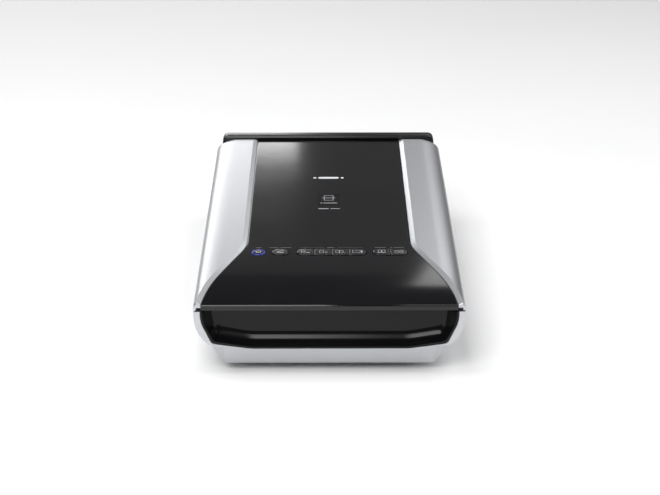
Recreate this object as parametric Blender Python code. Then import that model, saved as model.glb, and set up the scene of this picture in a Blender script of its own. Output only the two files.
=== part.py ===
"""A flatbed document and film scanner, 272 x 480 x 111 mm, as an assembly of separate pieces.

The origin is on the desk, under the middle of the machine. +X is to the user's right, +Y runs away
from the user and +Z is up. Sizes and places are written in millimetres, and become metres in the
few functions that make vertices or place objects.

The base is a silver pan with a glossy black finger scoop in front, a glass platen on top and the
scanning carriage inside. The lid carries a black centre panel with the buttons between two silver
wings, and a light for film over a window. Two posts carry the lid: it tilts about the pins at
their tops, and the posts slide up out of the base for a thick book.
"""

import math

import bmesh
import bpy
from mathutils import Matrix, Vector

MM = 0.001

# ---- Driving dimensions, in millimetres ----
WIDTH = 272
LENGTH = 480
HEIGHT = 111
HALF = WIDTH / 2
FRONT = -LENGTH / 2
REAR = LENGTH / 2
GAP = 0.3  # between pieces that rest on or lie in each other
WALL = 2.5

FLOOR_Z = 8  # underside of the base, on its feet
RIM_Z = 68  # top edge of the base
LID_Z = 69.4  # bottom edge of the lid
FRAME_TOP_Z = 67.4
FRAME_BOTTOM_Z = 62.4
SEAT_Z = FLOOR_Z + WALL + GAP  # what stands on the base's floor
LEDGE_Z = 31  # where the hull of the base meets its narrower pedestal

SCOOP_BACK_Y = -221.7  # back wall of the finger scoop
SCOOP_SKIN = 1.9

# Lid: the silver wings' widest line climbs to the rear, and the panel runs parallel to it.
CREST_FRONT_Z = 72
CREST_SLOPE = 0.0522
CREST_RISE = 11.2
SHOULDER = 22
BEVEL = 5
SHELL = 2.2
PANEL_REAR_Y = 220
PANEL_REAR_Z = 105.5
PANEL_SLOPE = 0.0523
NOSE_START_Y = -100
NOSE_FALL = 2.456e-6
PANEL_HALF = 87
TRAY_HALF = 133
TRAY_TOP_Z = LID_Z + WALL
WING_REAR_Y = 222
WING_CORNER = 11
FRONT_CORNER = 2.5
COVER_FRONT_Y = 224.3
COVER_HALF = 130
COVER_LOW_Z = 75.5
HOOK_X = 80  # the document mat's two hooks

# Lid hinge and its two posts
PIN_Y = 229
PIN_Z = 80
PIN_R = 2
POST_X = 83
POST_HALF = 15
POST_THICK = 8
KNUCKLE_R = 5.5

# Buttons, in a row frame that lies on the panel and tilts with it
ROW_Y = -124
BUTTON_W = 18.4
BUTTON_D = 16
BUTTON_PROUD = 0.8
POWER_X = -74.4
POWER_R = 5.2
RING_R = 7.2

# Platen and what moves beneath it
WINDOW_HALF = 112
WINDOW_FRONT_Y = -128
WINDOW_REAR_Y = 182
GLASS_LEDGE = 5
CARRIAGE_Y = -150
CARRIAGE_HALF_X = 109
CARRIAGE_LENGTH = 56
CARRIAGE_BOTTOM_Z = 24
CARRIAGE_TOP_Z = 58
ROD_X = -48
ROD_Z = 19
ROD_R = 4
BELT_X = -26
BELT_PITCH_R = 6
BELT_THICK = 1.2
BELT_LOW_Z = 15
BELT_HIGH_Z = 21
IDLER_Y = -196
DRIVE_Y = 208
GEAR_MODULE = 0.8
GEAR_TEETH = 48
PINION_TEETH = 12
GEAR_Z = (11.2, 14.2)
LOCK_X = 57
LOCK_Y = -150

SIDES = {"left": -1, "right": 1}


# ---- Materials and objects ----
def material(name, colour, roughness, metallic=0.0):
    made = bpy.data.materials.new(name)
    made.use_nodes = True
    shader = made.node_tree.nodes["Principled BSDF"]
    shader.inputs["Base Color"].default_value = (*colour, 1)
    shader.inputs["Roughness"].default_value = roughness
    shader.inputs["Metallic"].default_value = metallic
    return made


def add(name, bm, finish, parent, at=(0, 0, 0), smooth=None):
    """Makes an object from a bmesh, in place under its parent. smooth is the sharp angle in degrees."""
    bmesh.ops.recalc_face_normals(bm, faces=bm.faces)
    mesh = bpy.data.meshes.new(name)
    bm.to_mesh(mesh)
    bm.free()
    if finish:
        mesh.materials.append(finish)
    if smooth:
        mesh.shade_smooth()
        mesh.set_sharp_from_angle(angle=math.radians(smooth))
    made = bpy.data.objects.new(name, mesh)
    made.location = Vector(at) * MM
    bpy.context.scene.collection.objects.link(made)
    if parent:
        made.parent = parent
    return made


def pivot(name, at=(0, 0, 0), parent=None, tilt=0.0):
    """An empty that carries the pieces of one moving body, with its origin on the joint's axis."""
    made = bpy.data.objects.new(name, None)
    made.location = (Vector(at) - Vector(parent["place"] if parent else (0, 0, 0))) * MM
    made.rotation_euler = (tilt, 0, 0)
    made.parent = parent
    made["place"] = at
    bpy.context.scene.collection.objects.link(made)
    return made


def under(parent, at=(0, 0, 0)):
    """A place in the machine's frame as a location under an untilted pivot."""
    return Vector(at) - Vector(parent["place"])


def combine(target, operation, tool):
    """Cuts, joins or intersects the target with a hidden tool."""
    tool.hide_render = True
    tool.display_type = "WIRE"
    step = target.modifiers.new(f"{operation.lower()} {tool.name}", "BOOLEAN")
    step.operation = operation
    step.solver = "EXACT"
    step.object = tool


def cut(target, *tools):
    for tool in tools:
        combine(target, "DIFFERENCE", tool)


def join(target, *tools):
    for tool in tools:
        combine(target, "UNION", tool)


# ---- Outlines, as lists of (u, v) in millimetres ----
def arc(centre, radius, start, end, steps):
    """Points on an arc, with angles in degrees."""
    turns = [math.radians(start + (end - start) * i / steps) for i in range(steps + 1)]
    return [(centre[0] + radius * math.cos(a), centre[1] + radius * math.sin(a)) for a in turns]


def rounded_box(low, high, radius, steps=4):
    """A rectangle with round corners. radius may be one value, or one for each corner from low, low."""
    (u0, v0), (u1, v1) = low, high
    radii = radius if isinstance(radius, tuple) else (radius,) * 4
    corners = ((u0, v0, 1, 1), (u1, v0, -1, 1), (u1, v1, -1, -1), (u0, v1, 1, -1))
    points = []
    for (u, v, du, dv), r, start in zip(corners, radii, (180, 270, 0, 90)):
        points += arc((u + du * r, v + dv * r), r, start, start + 90, steps) if r else [(u, v)]
    return points


def filleted(corners, steps=5):
    """An open line through corners (u, v, radius), with each inner corner rounded to its radius."""
    points = [corners[0][:2]]
    for before, (u, v, radius), after in zip(corners, corners[1:], corners[2:]):
        here = Vector((u, v))
        back = (Vector(before[:2]) - here).normalized()
        on = (Vector(after[:2]) - here).normalized()
        half = back.angle(on) / 2
        reach = radius / math.tan(half)
        centre = here + (back + on).normalized() * radius / math.sin(half)
        first = here + back * reach - centre
        last = here + on * reach - centre
        for i in range(steps + 1):
            spoke = first.lerp(last, i / steps).normalized() * radius
            points.append(tuple(centre + spoke))
    return points + [corners[-1][:2]]


def mirrored(half):
    """A closed outline from its right half, which runs from the top down to the bottom middle."""
    return half + [(-u, v) for u, v in reversed(half) if u > 1e-6]


# ---- Solids, as bmeshes in metres ----
def block(low, high):
    """A box between two corners."""
    bm = bmesh.new()
    bmesh.ops.create_cube(bm, size=1)
    size = Vector(high) - Vector(low)
    middle = (Vector(high) + Vector(low)) / 2
    bmesh.ops.scale(bm, vec=size * MM, verts=bm.verts)
    bmesh.ops.translate(bm, vec=middle * MM, verts=bm.verts)
    return bm


def prism(outline, axis, low, high):
    """The outline pushed along an axis. It lies in XY for Z, in XZ for Y and in YZ for X."""
    place = {
        "X": lambda u, v: (low, u, v),
        "Y": lambda u, v: (u, low, v),
        "Z": lambda u, v: (u, v, low),
    }[axis]
    bm = bmesh.new()
    face = bm.faces.new([bm.verts.new(Vector(place(u, v)) * MM) for u, v in outline])
    pushed = bmesh.ops.extrude_face_region(bm, geom=[face])["geom"]
    push = Vector([(high - low) * (axis == name) for name in "XYZ"]) * MM
    verts = [v for v in pushed if isinstance(v, bmesh.types.BMVert)]
    bmesh.ops.translate(bm, vec=push, verts=verts)
    return bm


def loft(sections):
    """Skins a list of closed loops of 3-D points, and closes both ends."""
    bm = bmesh.new()
    loops = [[bm.verts.new(Vector(point) * MM) for point in loop] for loop in sections]
    for near, far in zip(loops, loops[1:]):
        for i, (a, b) in enumerate(zip(near, far)):
            bm.faces.new((near[i - 1], a, b, far[i - 1]))
    bm.faces.new(loops[0])
    bm.faces.new(loops[-1])
    return bm


def turned(profile, steps, axis="Z"):
    """Spins a profile of (radius, height) about an axis. Ends at radius 0 close themselves."""
    bm = bmesh.new()
    verts = [bm.verts.new((r * MM, 0, h * MM)) for r, h in profile]
    edges = [bm.edges.new(pair) for pair in zip(verts, verts[1:])]
    if profile[0][0] > 0:
        edges.append(bm.edges.new((verts[-1], verts[0])))
    bmesh.ops.spin(
        bm, geom=verts + edges, cent=(0, 0, 0), axis=(0, 0, 1), angle=math.tau, steps=steps
    )
    bmesh.ops.remove_doubles(bm, verts=bm.verts, dist=1e-6)
    turn = {
        "Z": Matrix(),
        "X": Matrix.Rotation(math.radians(90), 4, "Y"),
        "Y": Matrix.Rotation(math.radians(-90), 4, "X"),
    }[axis]
    bmesh.ops.transform(bm, matrix=turn, verts=bm.verts)
    return bm


def cylinder(radius, low, high, steps=20, axis="Z"):
    return turned([(0, low), (radius, low), (radius, high), (0, high)], steps, axis)


def gear(teeth, low, high, bore):
    """A spur gear with straight-sided teeth a little narrower than their gaps."""
    pitch = GEAR_MODULE * teeth / 2
    tip, root = pitch + 0.7 * GEAR_MODULE, pitch - 1.0 * GEAR_MODULE
    step = math.tau / teeth
    outline = []
    for tooth in range(teeth):
        for share, radius in ((-0.27, root), (-0.12, tip), (0.12, tip), (0.27, root)):
            angle = (tooth + share) * step
            outline.append((radius * math.cos(angle), radius * math.sin(angle)))
    made = prism(outline, "Z", low, high)
    return made, cylinder(bore, low - 1, high + 1, 12)


# ---- The lid's shape ----
def smooth_max(a, b, width):
    overlap = max(width - abs(a - b), 0) / width
    return max(a, b) + overlap * overlap * width / 4


def smooth_min(a, b, width):
    return -smooth_max(-a, -b, width)


def panel_edge(y):
    """Half the centre panel's width: straight, then flaring through an S to the front."""
    flare = PANEL_HALF - 0.3716 * (y + 109)
    front = 128.4 - 0.157 * (y - FRONT)
    return smooth_max(PANEL_HALF, smooth_min(flare, front, 5.4), 6)


def panel_height(y):
    """Height of the centre panel, which falls away towards the front edge."""
    fall = max(NOSE_START_Y - y, 0)
    return PANEL_REAR_Z + PANEL_SLOPE * (y - PANEL_REAR_Y) - NOSE_FALL * fall**3


def crest_height(y):
    return CREST_FRONT_Z + CREST_SLOPE * (y - FRONT)


def wing_height(x, y):
    """Height of a wing's crown: an elliptical shoulder, then nearly flat."""
    share = min((HALF - x) / SHOULDER, 1)
    return crest_height(y) + CREST_RISE * math.sqrt(max(1 - (1 - share) ** 2, 0))


# ---- Base ----
def hull_side(inset=0.0):
    """The base's right side, from rim to floor: a swelling hull over a sloping pedestal."""
    top, ledge = RIM_Z, 32.3
    swell = []
    for i in range(8):
        depth = i / 7
        swell.append((HALF - inset - 14.5 * depth**2.6, top - (top - ledge) * depth))
    foot = filleted([(*swell[-1], 0), (104.5 - inset, FLOOR_Z + inset, 5), (0, FLOOR_Z + inset, 0)])
    return swell + foot[1:]


def scoop_front(inset=0.0):
    """The finger scoop's outline in the front face, right half, from the top down to the middle."""
    side = [(129.4 - inset - 9.2 * (drop / 32) ** 2.6, RIM_Z - drop) for drop in (0, 8, 16, 22, 27)]
    low = filleted(
        [
            (*side[-1], 0),
            (118.3 - inset, 33.5 + inset, 6),
            (80, 27.6 + inset, 80),
            (0, 27.6 + inset, 0),
        ],
        4,
    )
    return [(side[0][0], RIM_Z + 6)] + side[1:] + low[1:]


def scoop_back(inset=0.0):
    """The outline of the scoop's back wall, with as many points as its front."""
    side = [(114 - inset - 0.05 * drop, RIM_Z - drop) for drop in (0, 8, 16, 22, 27)]
    low = filleted(
        [
            (*side[-1], 0),
            (112.3 - inset, 35.6 + inset, 4),
            (75, 29.8 + inset, 80),
            (0, 29.8 + inset, 0),
        ],
        4,
    )
    return [(side[0][0], RIM_Z + 6)] + side[1:] + low[1:]


def scoop_solid(mouth_y, back_y, inset):
    """The scoop's hollow from its mouth to its back, with a rounded turn into the back wall."""
    front, back = mirrored(scoop_front(inset)), mirrored(scoop_back(inset))
    depth = back_y - FRONT
    shares = ((0, 0), (0.6, 0.62), (0.8, 0.8), (0.93, 0.93), (1, 1))
    sections = [[(u, mouth_y, v) for u, v in front]]
    for along, share in shares:
        y = FRONT + depth * along
        turn = share**2.2 if share < 1 else 1
        sections.append(
            [
                (a[0] + (b[0] - a[0]) * share, y, a[1] + (b[1] - a[1]) * turn)
                for a, b in zip(front, back)
            ]
        )
    return loft(sections)


def lower_case(base, silver):
    """The silver pan: side section, side profile and plan all meet in it."""
    case = add("lower_case", prism(mirrored(hull_side()), "Y", FRONT - 5, REAR + 5), silver, base)
    profile = filleted(
        [
            (REAR, RIM_Z, 0),
            (REAR, FLOOR_Z, 5),
            (FRONT + 9.5, FLOOR_Z, 2),
            (FRONT, LEDGE_Z, 6),
            (FRONT, RIM_Z, 0),
        ]
    )
    plan = rounded_box((-HALF, FRONT), (HALF, REAR), (FRONT_CORNER, FRONT_CORNER, 14, 14))
    combine(case, "INTERSECT", add("case_profile", prism(profile, "X", -150, 150), None, base))
    combine(case, "INTERSECT", add("case_plan", prism(plan, "Z", 0, 90), None, base))
    inner = hull_side(WALL)
    room = mirrored([(inner[0][0], RIM_Z + 10)] + inner)
    hollow = add("case_room", prism(room, "Y", -217.5, REAR), None, base)
    inner_plan = rounded_box((-HALF, -217.5), (HALF, REAR - WALL), (0, 0, 14, 14))
    bounds = add("case_room_plan", prism(inner_plan, "Z", 0, 90), None, base)
    combine(hollow, "INTERSECT", bounds)
    cut(case, hollow)
    cut(case, add("case_chin_room", block((-95, -228, 11), (95, -212, 23)), None, base))
    cut(case, add("case_scoop", scoop_solid(FRONT - 4, SCOOP_BACK_Y, 0), None, base))
    slot = block((LOCK_X - 4, LOCK_Y - 3, 4), (LOCK_X + 12, LOCK_Y + 3, 14))
    cut(case, add("case_lock_slot", slot, None, base))
    for name, (x0, x1, z0, z1) in SOCKETS.items():
        hole = block((x0 - 0.4, 230, z0 - 0.4), (x1 + 0.4, 245, z1 + 0.4))
        cut(case, add(f"case_{name}_hole", hole, None, base))
    return case


def front_scoop(base, black):
    """The black trim that lines the finger scoop, open to the front."""
    outside = scoop_solid(FRONT - 4, SCOOP_BACK_Y - GAP, GAP)
    trim = add("front_scoop", outside, black, base)
    keep = block((-140, FRONT + 0.5, 20), (140, -210, FRAME_TOP_Z))
    combine(trim, "INTERSECT", add("scoop_bounds", keep, None, base))
    hollow = scoop_solid(FRONT - 5, SCOOP_BACK_Y - GAP - SCOOP_SKIN, GAP + SCOOP_SKIN)
    cut(trim, add("scoop_hollow", hollow, None, base))


def platen(base, black, glass, white):
    """The black frame round the platen, its glass and the white strip that the lamp is set by."""
    plan = rounded_box((-133.1, -217.2), (133.1, REAR - WALL - GAP), (0.5, 0.5, 12, 12))
    frame = add("platen_frame", prism(plan, "Z", FRAME_BOTTOM_Z, FRAME_TOP_Z), black, base)
    low = (-WINDOW_HALF, WINDOW_FRONT_Y, 60)
    cut(frame, add("window", block(low, (WINDOW_HALF, WINDOW_REAR_Y, 70)), None, base))
    outer = Vector((WINDOW_HALF + GLASS_LEDGE, GLASS_LEDGE, 0))
    rebate = block(
        (-outer.x, WINDOW_FRONT_Y - outer.y, 64.2), (outer.x, WINDOW_REAR_Y + outer.y, 70)
    )
    cut(frame, add("rebate", rebate, None, base))
    for side, sign in SIDES.items():
        x = sign * POST_X
        hole = block((x - POST_HALF - 0.6, PIN_Y - 4.7, 60), (x + POST_HALF + 0.6, PIN_Y + 4.7, 70))
        cut(frame, add(f"{side}_post_hole", hole, None, base))
    edge = GLASS_LEDGE - 0.4
    pane = rounded_box(
        (-WINDOW_HALF - edge, WINDOW_FRONT_Y - edge), (WINDOW_HALF + edge, WINDOW_REAR_Y + edge), 1
    )
    add("platen_glass", prism(pane, "Z", 64.5, 67.2), glass, base)
    add("calibration_strip", block((-106, -142, 60.9), (106, -129, 62.1)), white, base)


def feet(base, rubber):
    for row, y in (("front", -195), ("rear", 212)):
        for side, sign in SIDES.items():
            profile = [(0, 0), (8, 0), (9, 1), (9, FLOOR_Z - GAP), (0, FLOOR_Z - GAP)]
            add(f"foot_{row}_{side}", turned(profile, 20), rubber, base, (sign * 84, y, 0), 40)


SOCKETS = {  # x0, x1, z0, z1 of each connector in the rear wall
    "usb_socket": (20, 32, 18, 29),
    "power_jack": (36, 47, 18, 29),
    "film_unit_socket": (51, 62, 18, 27),
}


def electronics(base, board_green, metal, black, white):
    """The main board, the three connectors in the rear wall and the ribbon to the carriage."""
    board = add("main_board", block((16, 191, 16), (65, 228.5, 17.6)), board_green, base)
    chips = (
        ("processor", (24, 196, 17), (42, 212, 20)),
        ("memory", (47, 198, 17), (58, 206, 19.5)),
        ("ribbon_header", (27, 191.2, 17), (49, 194.5, 21)),
        ("driver", (48, 210, 17), (56, 218, 19.5)),
    )
    for name, low, high in chips:
        join(board, add(name, block(low, high), None, base))
    for name, (x0, x1, z0, z1) in SOCKETS.items():
        finish = metal if name == "usb_socket" else black
        shell = add(name, block((x0, 229, z0), (x1, REAR - 0.4, z1)), finish, base)
        if name == "power_jack":
            centre = ((x0 + x1) / 2, 0, (z0 + z1) / 2)
            mouth = add(f"{name}_mouth", cylinder(3.3, 231, 245, 16, "Y"), None, base, centre)
        else:
            opening = block((x0 + 1.6, 231, z0 + 1.6), (x1 - 1.6, 245, z1 - 1.6))
            mouth = add(f"{name}_mouth", opening, None, base)
        cut(shell, mouth)
    ribbon(base, white)


def ribbon(base, white):
    """A flat cable: along the floor from the board, round a loop and up to the carriage."""
    thick, low_z, loop_y, radius = 0.5, 11.1, -126, 5.7
    centre = (loop_y, low_z + radius)
    outer = arc(centre, radius, 270, 90, 8)
    inner = arc(centre, radius - thick, 90, 270, 8)
    outline = [(190.6, 18.3), (188.5, 18.3), (184, low_z)] + outer
    outline += [(loop_y + 4, low_z + 2 * radius), (loop_y + 4, low_z + 2 * radius - thick)] + inner
    outline += [(184, low_z + thick), (188.5, 18.8), (190.6, 18.8)]
    add("ribbon_cable", prism(outline, "X", 28, 48), white, base)


def drive(base, steel, white, black, rubber):
    """Guide rod and rail, the motor and the toothed belt with its pulleys."""
    rod = cylinder(ROD_R, -209, 194, 24, "Y")
    add("guide_rod", rod, steel, base, (ROD_X, 0, ROD_Z), 40)
    for end, y in (("front", -206), ("rear", 190.5)):
        body = block((ROD_X - 7, y - 4, SEAT_Z), (ROD_X + 7, y + 4, ROD_Z))
        clip = add(f"rod_clip_{end}", body, black, base)
        seat = cylinder(ROD_R + GAP, -10, 10, 24, "Y")
        cut(clip, add(f"rod_seat_{end}", seat, None, base, (ROD_X, y, ROD_Z)))
    add("slide_rail", block((76, -205, SEAT_Z), (84, 190, 21.3)), black, base)

    outside, inside = (
        arc((BELT_X, DRIVE_Y), radius, 0, 180, 10) + arc((BELT_X, IDLER_Y), radius, 180, 360, 10)
        for radius in (BELT_PITCH_R + BELT_THICK / 2, BELT_PITCH_R - BELT_THICK / 2)
    )
    belt = add("drive_belt", prism(outside, "Z", BELT_LOW_Z, BELT_HIGH_Z), rubber, base)
    cut(belt, add("belt_inside", prism(inside, "Z", 10, 30), None, base))

    foot = block((BELT_X - 9, IDLER_Y - 14, SEAT_Z), (BELT_X + 9, IDLER_Y + 8, SEAT_Z + 2))
    bracket = add("idler_bracket", foot, steel, base)
    join(bracket, add("idler_axle", cylinder(1.6, 11.5, 23, 12), None, base, (BELT_X, IDLER_Y, 0)))

    motor_x = BELT_X + GEAR_MODULE * (GEAR_TEETH + PINION_TEETH) / 2
    profile = [(0, 15.6), (15, 15.6), (15, 33), (13, 34), (0, 34)]
    motor_at = (motor_x, DRIVE_Y, 0)
    motor = add("stepper_motor", turned(profile, 28), steel, base, motor_at, 40)
    join(motor, add("motor_shaft", cylinder(1.1, 10.9, 17, 12), None, base, motor_at))
    tab = rounded_box((-4, -20), (4, 20), 3.9)
    join(motor, add("motor_flange", prism(tab, "Z", 15.5, 16.9), None, base, motor_at))

    turning = pivot("drive_pulley_axis", (BELT_X, DRIVE_Y, 0))
    teeth, bore = gear(GEAR_TEETH, *GEAR_Z, 1.9)
    pulley = add("drive_pulley", teeth, white, turning)
    core = BELT_PITCH_R - BELT_THICK / 2 - GAP
    rim = core + 2.2
    hub = [(0, 13.5), (rim, 13.5), (rim, 14.7), (core, 14.7), (core, 21.6), (0, 21.6)]
    join(pulley, add("pulley_hub", turned(hub, 20), None, turning))
    hub_bore = add("hub_bore", cylinder(1.9, 10, 25, 12), None, turning)
    cut(pulley, add("pulley_bore", bore, None, turning), hub_bore)

    spinning = pivot("motor_pinion_axis", (motor_x, DRIVE_Y, 0))
    teeth, bore = gear(PINION_TEETH, *GEAR_Z, 1.4)
    pinion = add("motor_pinion", teeth, white, spinning)
    pinion.rotation_euler.z = math.pi / PINION_TEETH  # a gap faces the large gear's tooth
    cut(pinion, add("pinion_bore", bore, None, spinning))

    idling = pivot("idler_pulley_axis", (BELT_X, IDLER_Y, 0))
    wheel = [(1.95, 13.2), (rim, 13.2), (rim, 14.6), (core, 14.6), (core, 21.9), (1.95, 21.9)]
    add("idler_pulley", turned(wheel, 20), white, idling, (0, 0, 0), 40)


def transport_lock(black):
    """The slider under the base that pins the carriage for carrying."""
    moving = pivot("transport_lock_slide", (LOCK_X, LOCK_Y, 0))
    lock = add("transport_lock", block((-7, -6, 5.8), (7, 6, 7.7)), black, moving)
    join(
        lock,
        add("lock_stem", block((-3, -2, 6.5), (3, 2, 22)), None, moving),
        add("lock_plate", block((-7, -6, 10.8), (7, 6, 12)), None, moving),
        add("lock_tongue", block((1, -1.5, 17.5), (7.5, 1.5, 20.5)), None, moving),
        add("lock_grip", block((-1, -5, 5), (1, 5, 6.5)), None, moving),
    )


def hinge_sockets(base, black):
    for side, sign in SIDES.items():
        x = sign * POST_X
        low, high = (x - 17.2, PIN_Y - 6, 13), (x + 17.2, PIN_Y + 6.2, 62.1)
        socket = add(f"{side}_hinge_socket", block(low, high), black, base)
        bore = block((x - POST_HALF - 0.4, PIN_Y - 4.4, 5), (x + POST_HALF + 0.4, PIN_Y + 4.4, 70))
        cut(socket, add(f"{side}_socket_bore", bore, None, base))


# ---- Hinge posts ----
def hinge_posts(black, steel):
    """Two posts that slide in the base, each with the lid's pin through its top."""
    lift = pivot("hinge_lift", (0, PIN_Y, PIN_Z))
    for side, sign in SIDES.items():
        x = sign * POST_X
        half = POST_THICK / 2
        plate = block((x - POST_HALF, -half, 14 - PIN_Z), (x + POST_HALF, half, 1))
        post = add(f"{side}_hinge_post", plate, black, lift)
        knuckle = cylinder(KNUCKLE_R, -POST_HALF, POST_HALF, 20, "X")
        join(post, add(f"{side}_knuckle", knuckle, None, lift, (x, 0, 0)))
        bore = cylinder(PIN_R + 0.35, -20, 20, 16, "X")
        cut(post, add(f"{side}_pin_bore", bore, None, lift, (x, 0, 0)))
        add(f"{side}_hinge_pin", cylinder(PIN_R, -18.9, 18.9, 16, "X"), steel, lift, (x, 0, 0), 40)


# ---- Lid ----
def lid_tray(lid, black):
    """The lid's inner frame, with the film window, the ears for the hinge pins and the hook slots."""
    here = under(lid)
    plan = rounded_box((-TRAY_HALF, FRONT + 2.8), (TRAY_HALF, 218.9), (1.5, 1.5, 11, 11))
    tray = add("lid_tray", prism(plan, "Z", LID_Z, LID_Z + WALL), black, lid, here)
    tail = block((-120, 210, LID_Z), (120, COVER_FRONT_Y - 0.4, TRAY_TOP_Z))
    join(tray, add("tray_tail", tail, None, lid, here))
    wall = [(-200, 71), (-200, 73), (212, 92), (212, 71)]
    for side, sign in SIDES.items():
        x0, x1 = sorted((sign * 128.5, sign * 130.5))
        join(tray, add(f"tray_wall_{side}", prism(wall, "X", x0, x1), None, lid, here))
    back = block((-120, WING_REAR_Y + 0.4, 71), (120, COVER_FRONT_Y - 0.4, 102.5))
    join(tray, add("tray_back", back, None, lid, here))
    for x in (-60, 60):
        boss = cylinder(3, 71, 76.2, 12)
        join(tray, add(f"tray_boss_{x}", boss, None, lid, here + Vector((x, ROW_Y, 0))))
    ear_y = WING_REAR_Y + 0.4
    for side, sign in SIDES.items():
        x = sign * POST_X
        notch = block((x - 15.6, 218, 60), (x + 15.6, 245, 87))
        cut(tray, add(f"tray_notch_{side}", notch, None, lid, here))
        for edge in (-1, 1):
            ear_x = sorted((x + edge * 15.9, x + edge * 18.6))
            ear = [(ear_y, 71)] + arc((PIN_Y, PIN_Z), 6, -75, 100, 8) + [(ear_y, PIN_Z + 6)]
            tool = f"ear_{side}_{edge}"
            join(tray, add(tool, prism(ear, "X", *ear_x), None, lid, here))
            hole = cylinder(PIN_R + 0.35, -5, 5, 16, "X")
            place = here + Vector((x + edge * 17, PIN_Y, PIN_Z))
            cut(tray, add(f"{tool}_hole", hole, None, lid, place))
        slot = block((sign * HOOK_X - 6.5, 165, 60), (sign * HOOK_X + 6.5, 183.2, 74))
        cut(tray, add(f"hook_slot_{side}", slot, None, lid, here))
    cut(tray, add("film_opening", block((-36, -100, 60), (36, 150, 74)), None, lid, here))


def centre_panel(lid, gloss_black):
    """The black panel: a bent sheet seen from the side, trimmed in plan to its waisted outline."""
    here = under(lid)
    runs = [PANEL_REAR_Y, 60, -60] + [NOSE_START_Y - 10 * i for i in range(14)]
    top = [(y, panel_height(y)) for y in runs] + [(-238.9, panel_height(-238.9)), (FRONT, 73.8)]
    inner = [(y, panel_height(y) - SHELL) for y in reversed(runs[:-1])]
    inner = [(FRONT + SHELL, panel_height(FRONT + SHELL) - SHELL)] + inner
    outline = top + [(FRONT, LID_Z), (FRONT + SHELL, LID_Z)] + inner
    panel = add("centre_panel", prism(outline, "X", -140, 140), gloss_black, lid, here)
    ys = [PANEL_REAR_Y + 3] + [y for y in range(-90, -240, -6)] + [FRONT - 3]
    side = [(panel_edge(y) - GAP, y) for y in ys]
    combine(panel, "INTERSECT", add("panel_plan", prism(mirrored(side), "Z", 60, 120), None, lid, here))
    row = button_row(lid)
    for name, (x0, x1, radius) in POCKETS.items():
        corners = ((x0 - 0.3, -BUTTON_D / 2 - 0.3), (x1 + 0.3, BUTTON_D / 2 + 0.3))
        pocket = prism(rounded_box(*corners, radius), "Z", -8, 8)
        cut(panel, add(f"pocket_{name}", pocket, None, row))
    round_pocket = cylinder(RING_R + 0.3, -8, 8, 24)
    cut(panel, add("pocket_power", round_pocket, None, row, (POWER_X, 0, 0)))


POCKETS = {  # each group of buttons: x0, x1 and corner radius
    "auto": (-60.6, -60.6 + BUTTON_W, 7),
    "pdf": (-34.4, -34.4 + 4 * BUTTON_W, 7),
    "copy": (45.8, 45.8 + 2 * BUTTON_W, 7),
}
BUTTONS = {  # button: its pocket and its place in it
    "auto_scan_button": ("auto", 0),
    "pdf_start_button": ("pdf", 0),
    "pdf_page_button": ("pdf", 1),
    "pdf_pages_button": ("pdf", 2),
    "pdf_finish_button": ("pdf", 3),
    "copy_button": ("copy", 0),
    "mail_button": ("copy", 1),
}


def row_tilt():
    rise = panel_height(ROW_Y + 1) - panel_height(ROW_Y - 1)
    return math.atan2(rise, 2)


def button_row(lid):
    """An empty on the panel's surface at the buttons, tilted with it, made once."""
    made = bpy.data.objects.get("button_row")
    return made or pivot("button_row", (0, ROW_Y, panel_height(ROW_Y)), lid, row_tilt())


def buttons(lid, black, board_green, lens):
    """Each button cap on its own travel axis, the lit ring and the switch board beneath."""
    row = button_row(lid)
    gap = 0.35
    for name, (pocket, place) in BUTTONS.items():
        x0, x1, radius = POCKETS[pocket]
        count = round((x1 - x0) / BUTTON_W)
        left, right = place == 0, place == count - 1
        on_left, on_right = (radius if ends else 0.6 for ends in (left, right))
        low_x = -BUTTON_W / 2 + gap
        corners = ((low_x, -BUTTON_D / 2 + gap), (-low_x, BUTTON_D / 2 - gap))
        outline = rounded_box(*corners, (on_left, on_right, on_right, on_left))
        middle = x0 + BUTTON_W * (place + 0.5)
        cap = add(name, prism(outline, "Z", -4.2, BUTTON_PROUD), black, row, (middle, 0, 0))
        bevel = cap.modifiers.new("soft edge", "BEVEL")
        bevel.width, bevel.segments, bevel.limit_method = 0.4 * MM, 1, "ANGLE"
        bevel.angle_limit = math.radians(60)
    profile = [(0, -4.2), (POWER_R, -4.2), (POWER_R, 0.6), (POWER_R - 0.6, 1), (0, 1.1)]
    add("power_button", turned(profile, 24), black, row, (POWER_X, 0, 0), 40)
    inner = POWER_R + GAP
    ring = [(inner, -3), (RING_R, -3), (RING_R, 0.3), (RING_R - 0.4, 0.6), (inner, 0.6)]
    add("power_ring", turned(ring, 24), lens, row, (POWER_X, 0, 0), 40)
    board = add("button_board", block((-84, -9, -10.5), (86, 9, -8.9)), board_green, row)
    centres = [POWER_X] + [POCKETS[p][0] + BUTTON_W * (i + 0.5) for p, i in BUTTONS.values()]
    for number, x in enumerate(centres):
        join(board, add(f"switch_{number}", block((x - 3, -3, -9.5), (x + 3, 3, -5.4)), None, row))


def wing_half(y):
    """Half the lid's width over the wings, which narrows round its corners in plan."""
    rear = max(y - WING_REAR_Y + WING_CORNER, 0)
    front = max(FRONT + FRONT_CORNER - y, 0)
    loss = WING_CORNER - math.sqrt(WING_CORNER**2 - rear**2)
    return HALF - loss - FRONT_CORNER + math.sqrt(FRONT_CORNER**2 - front**2)


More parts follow.
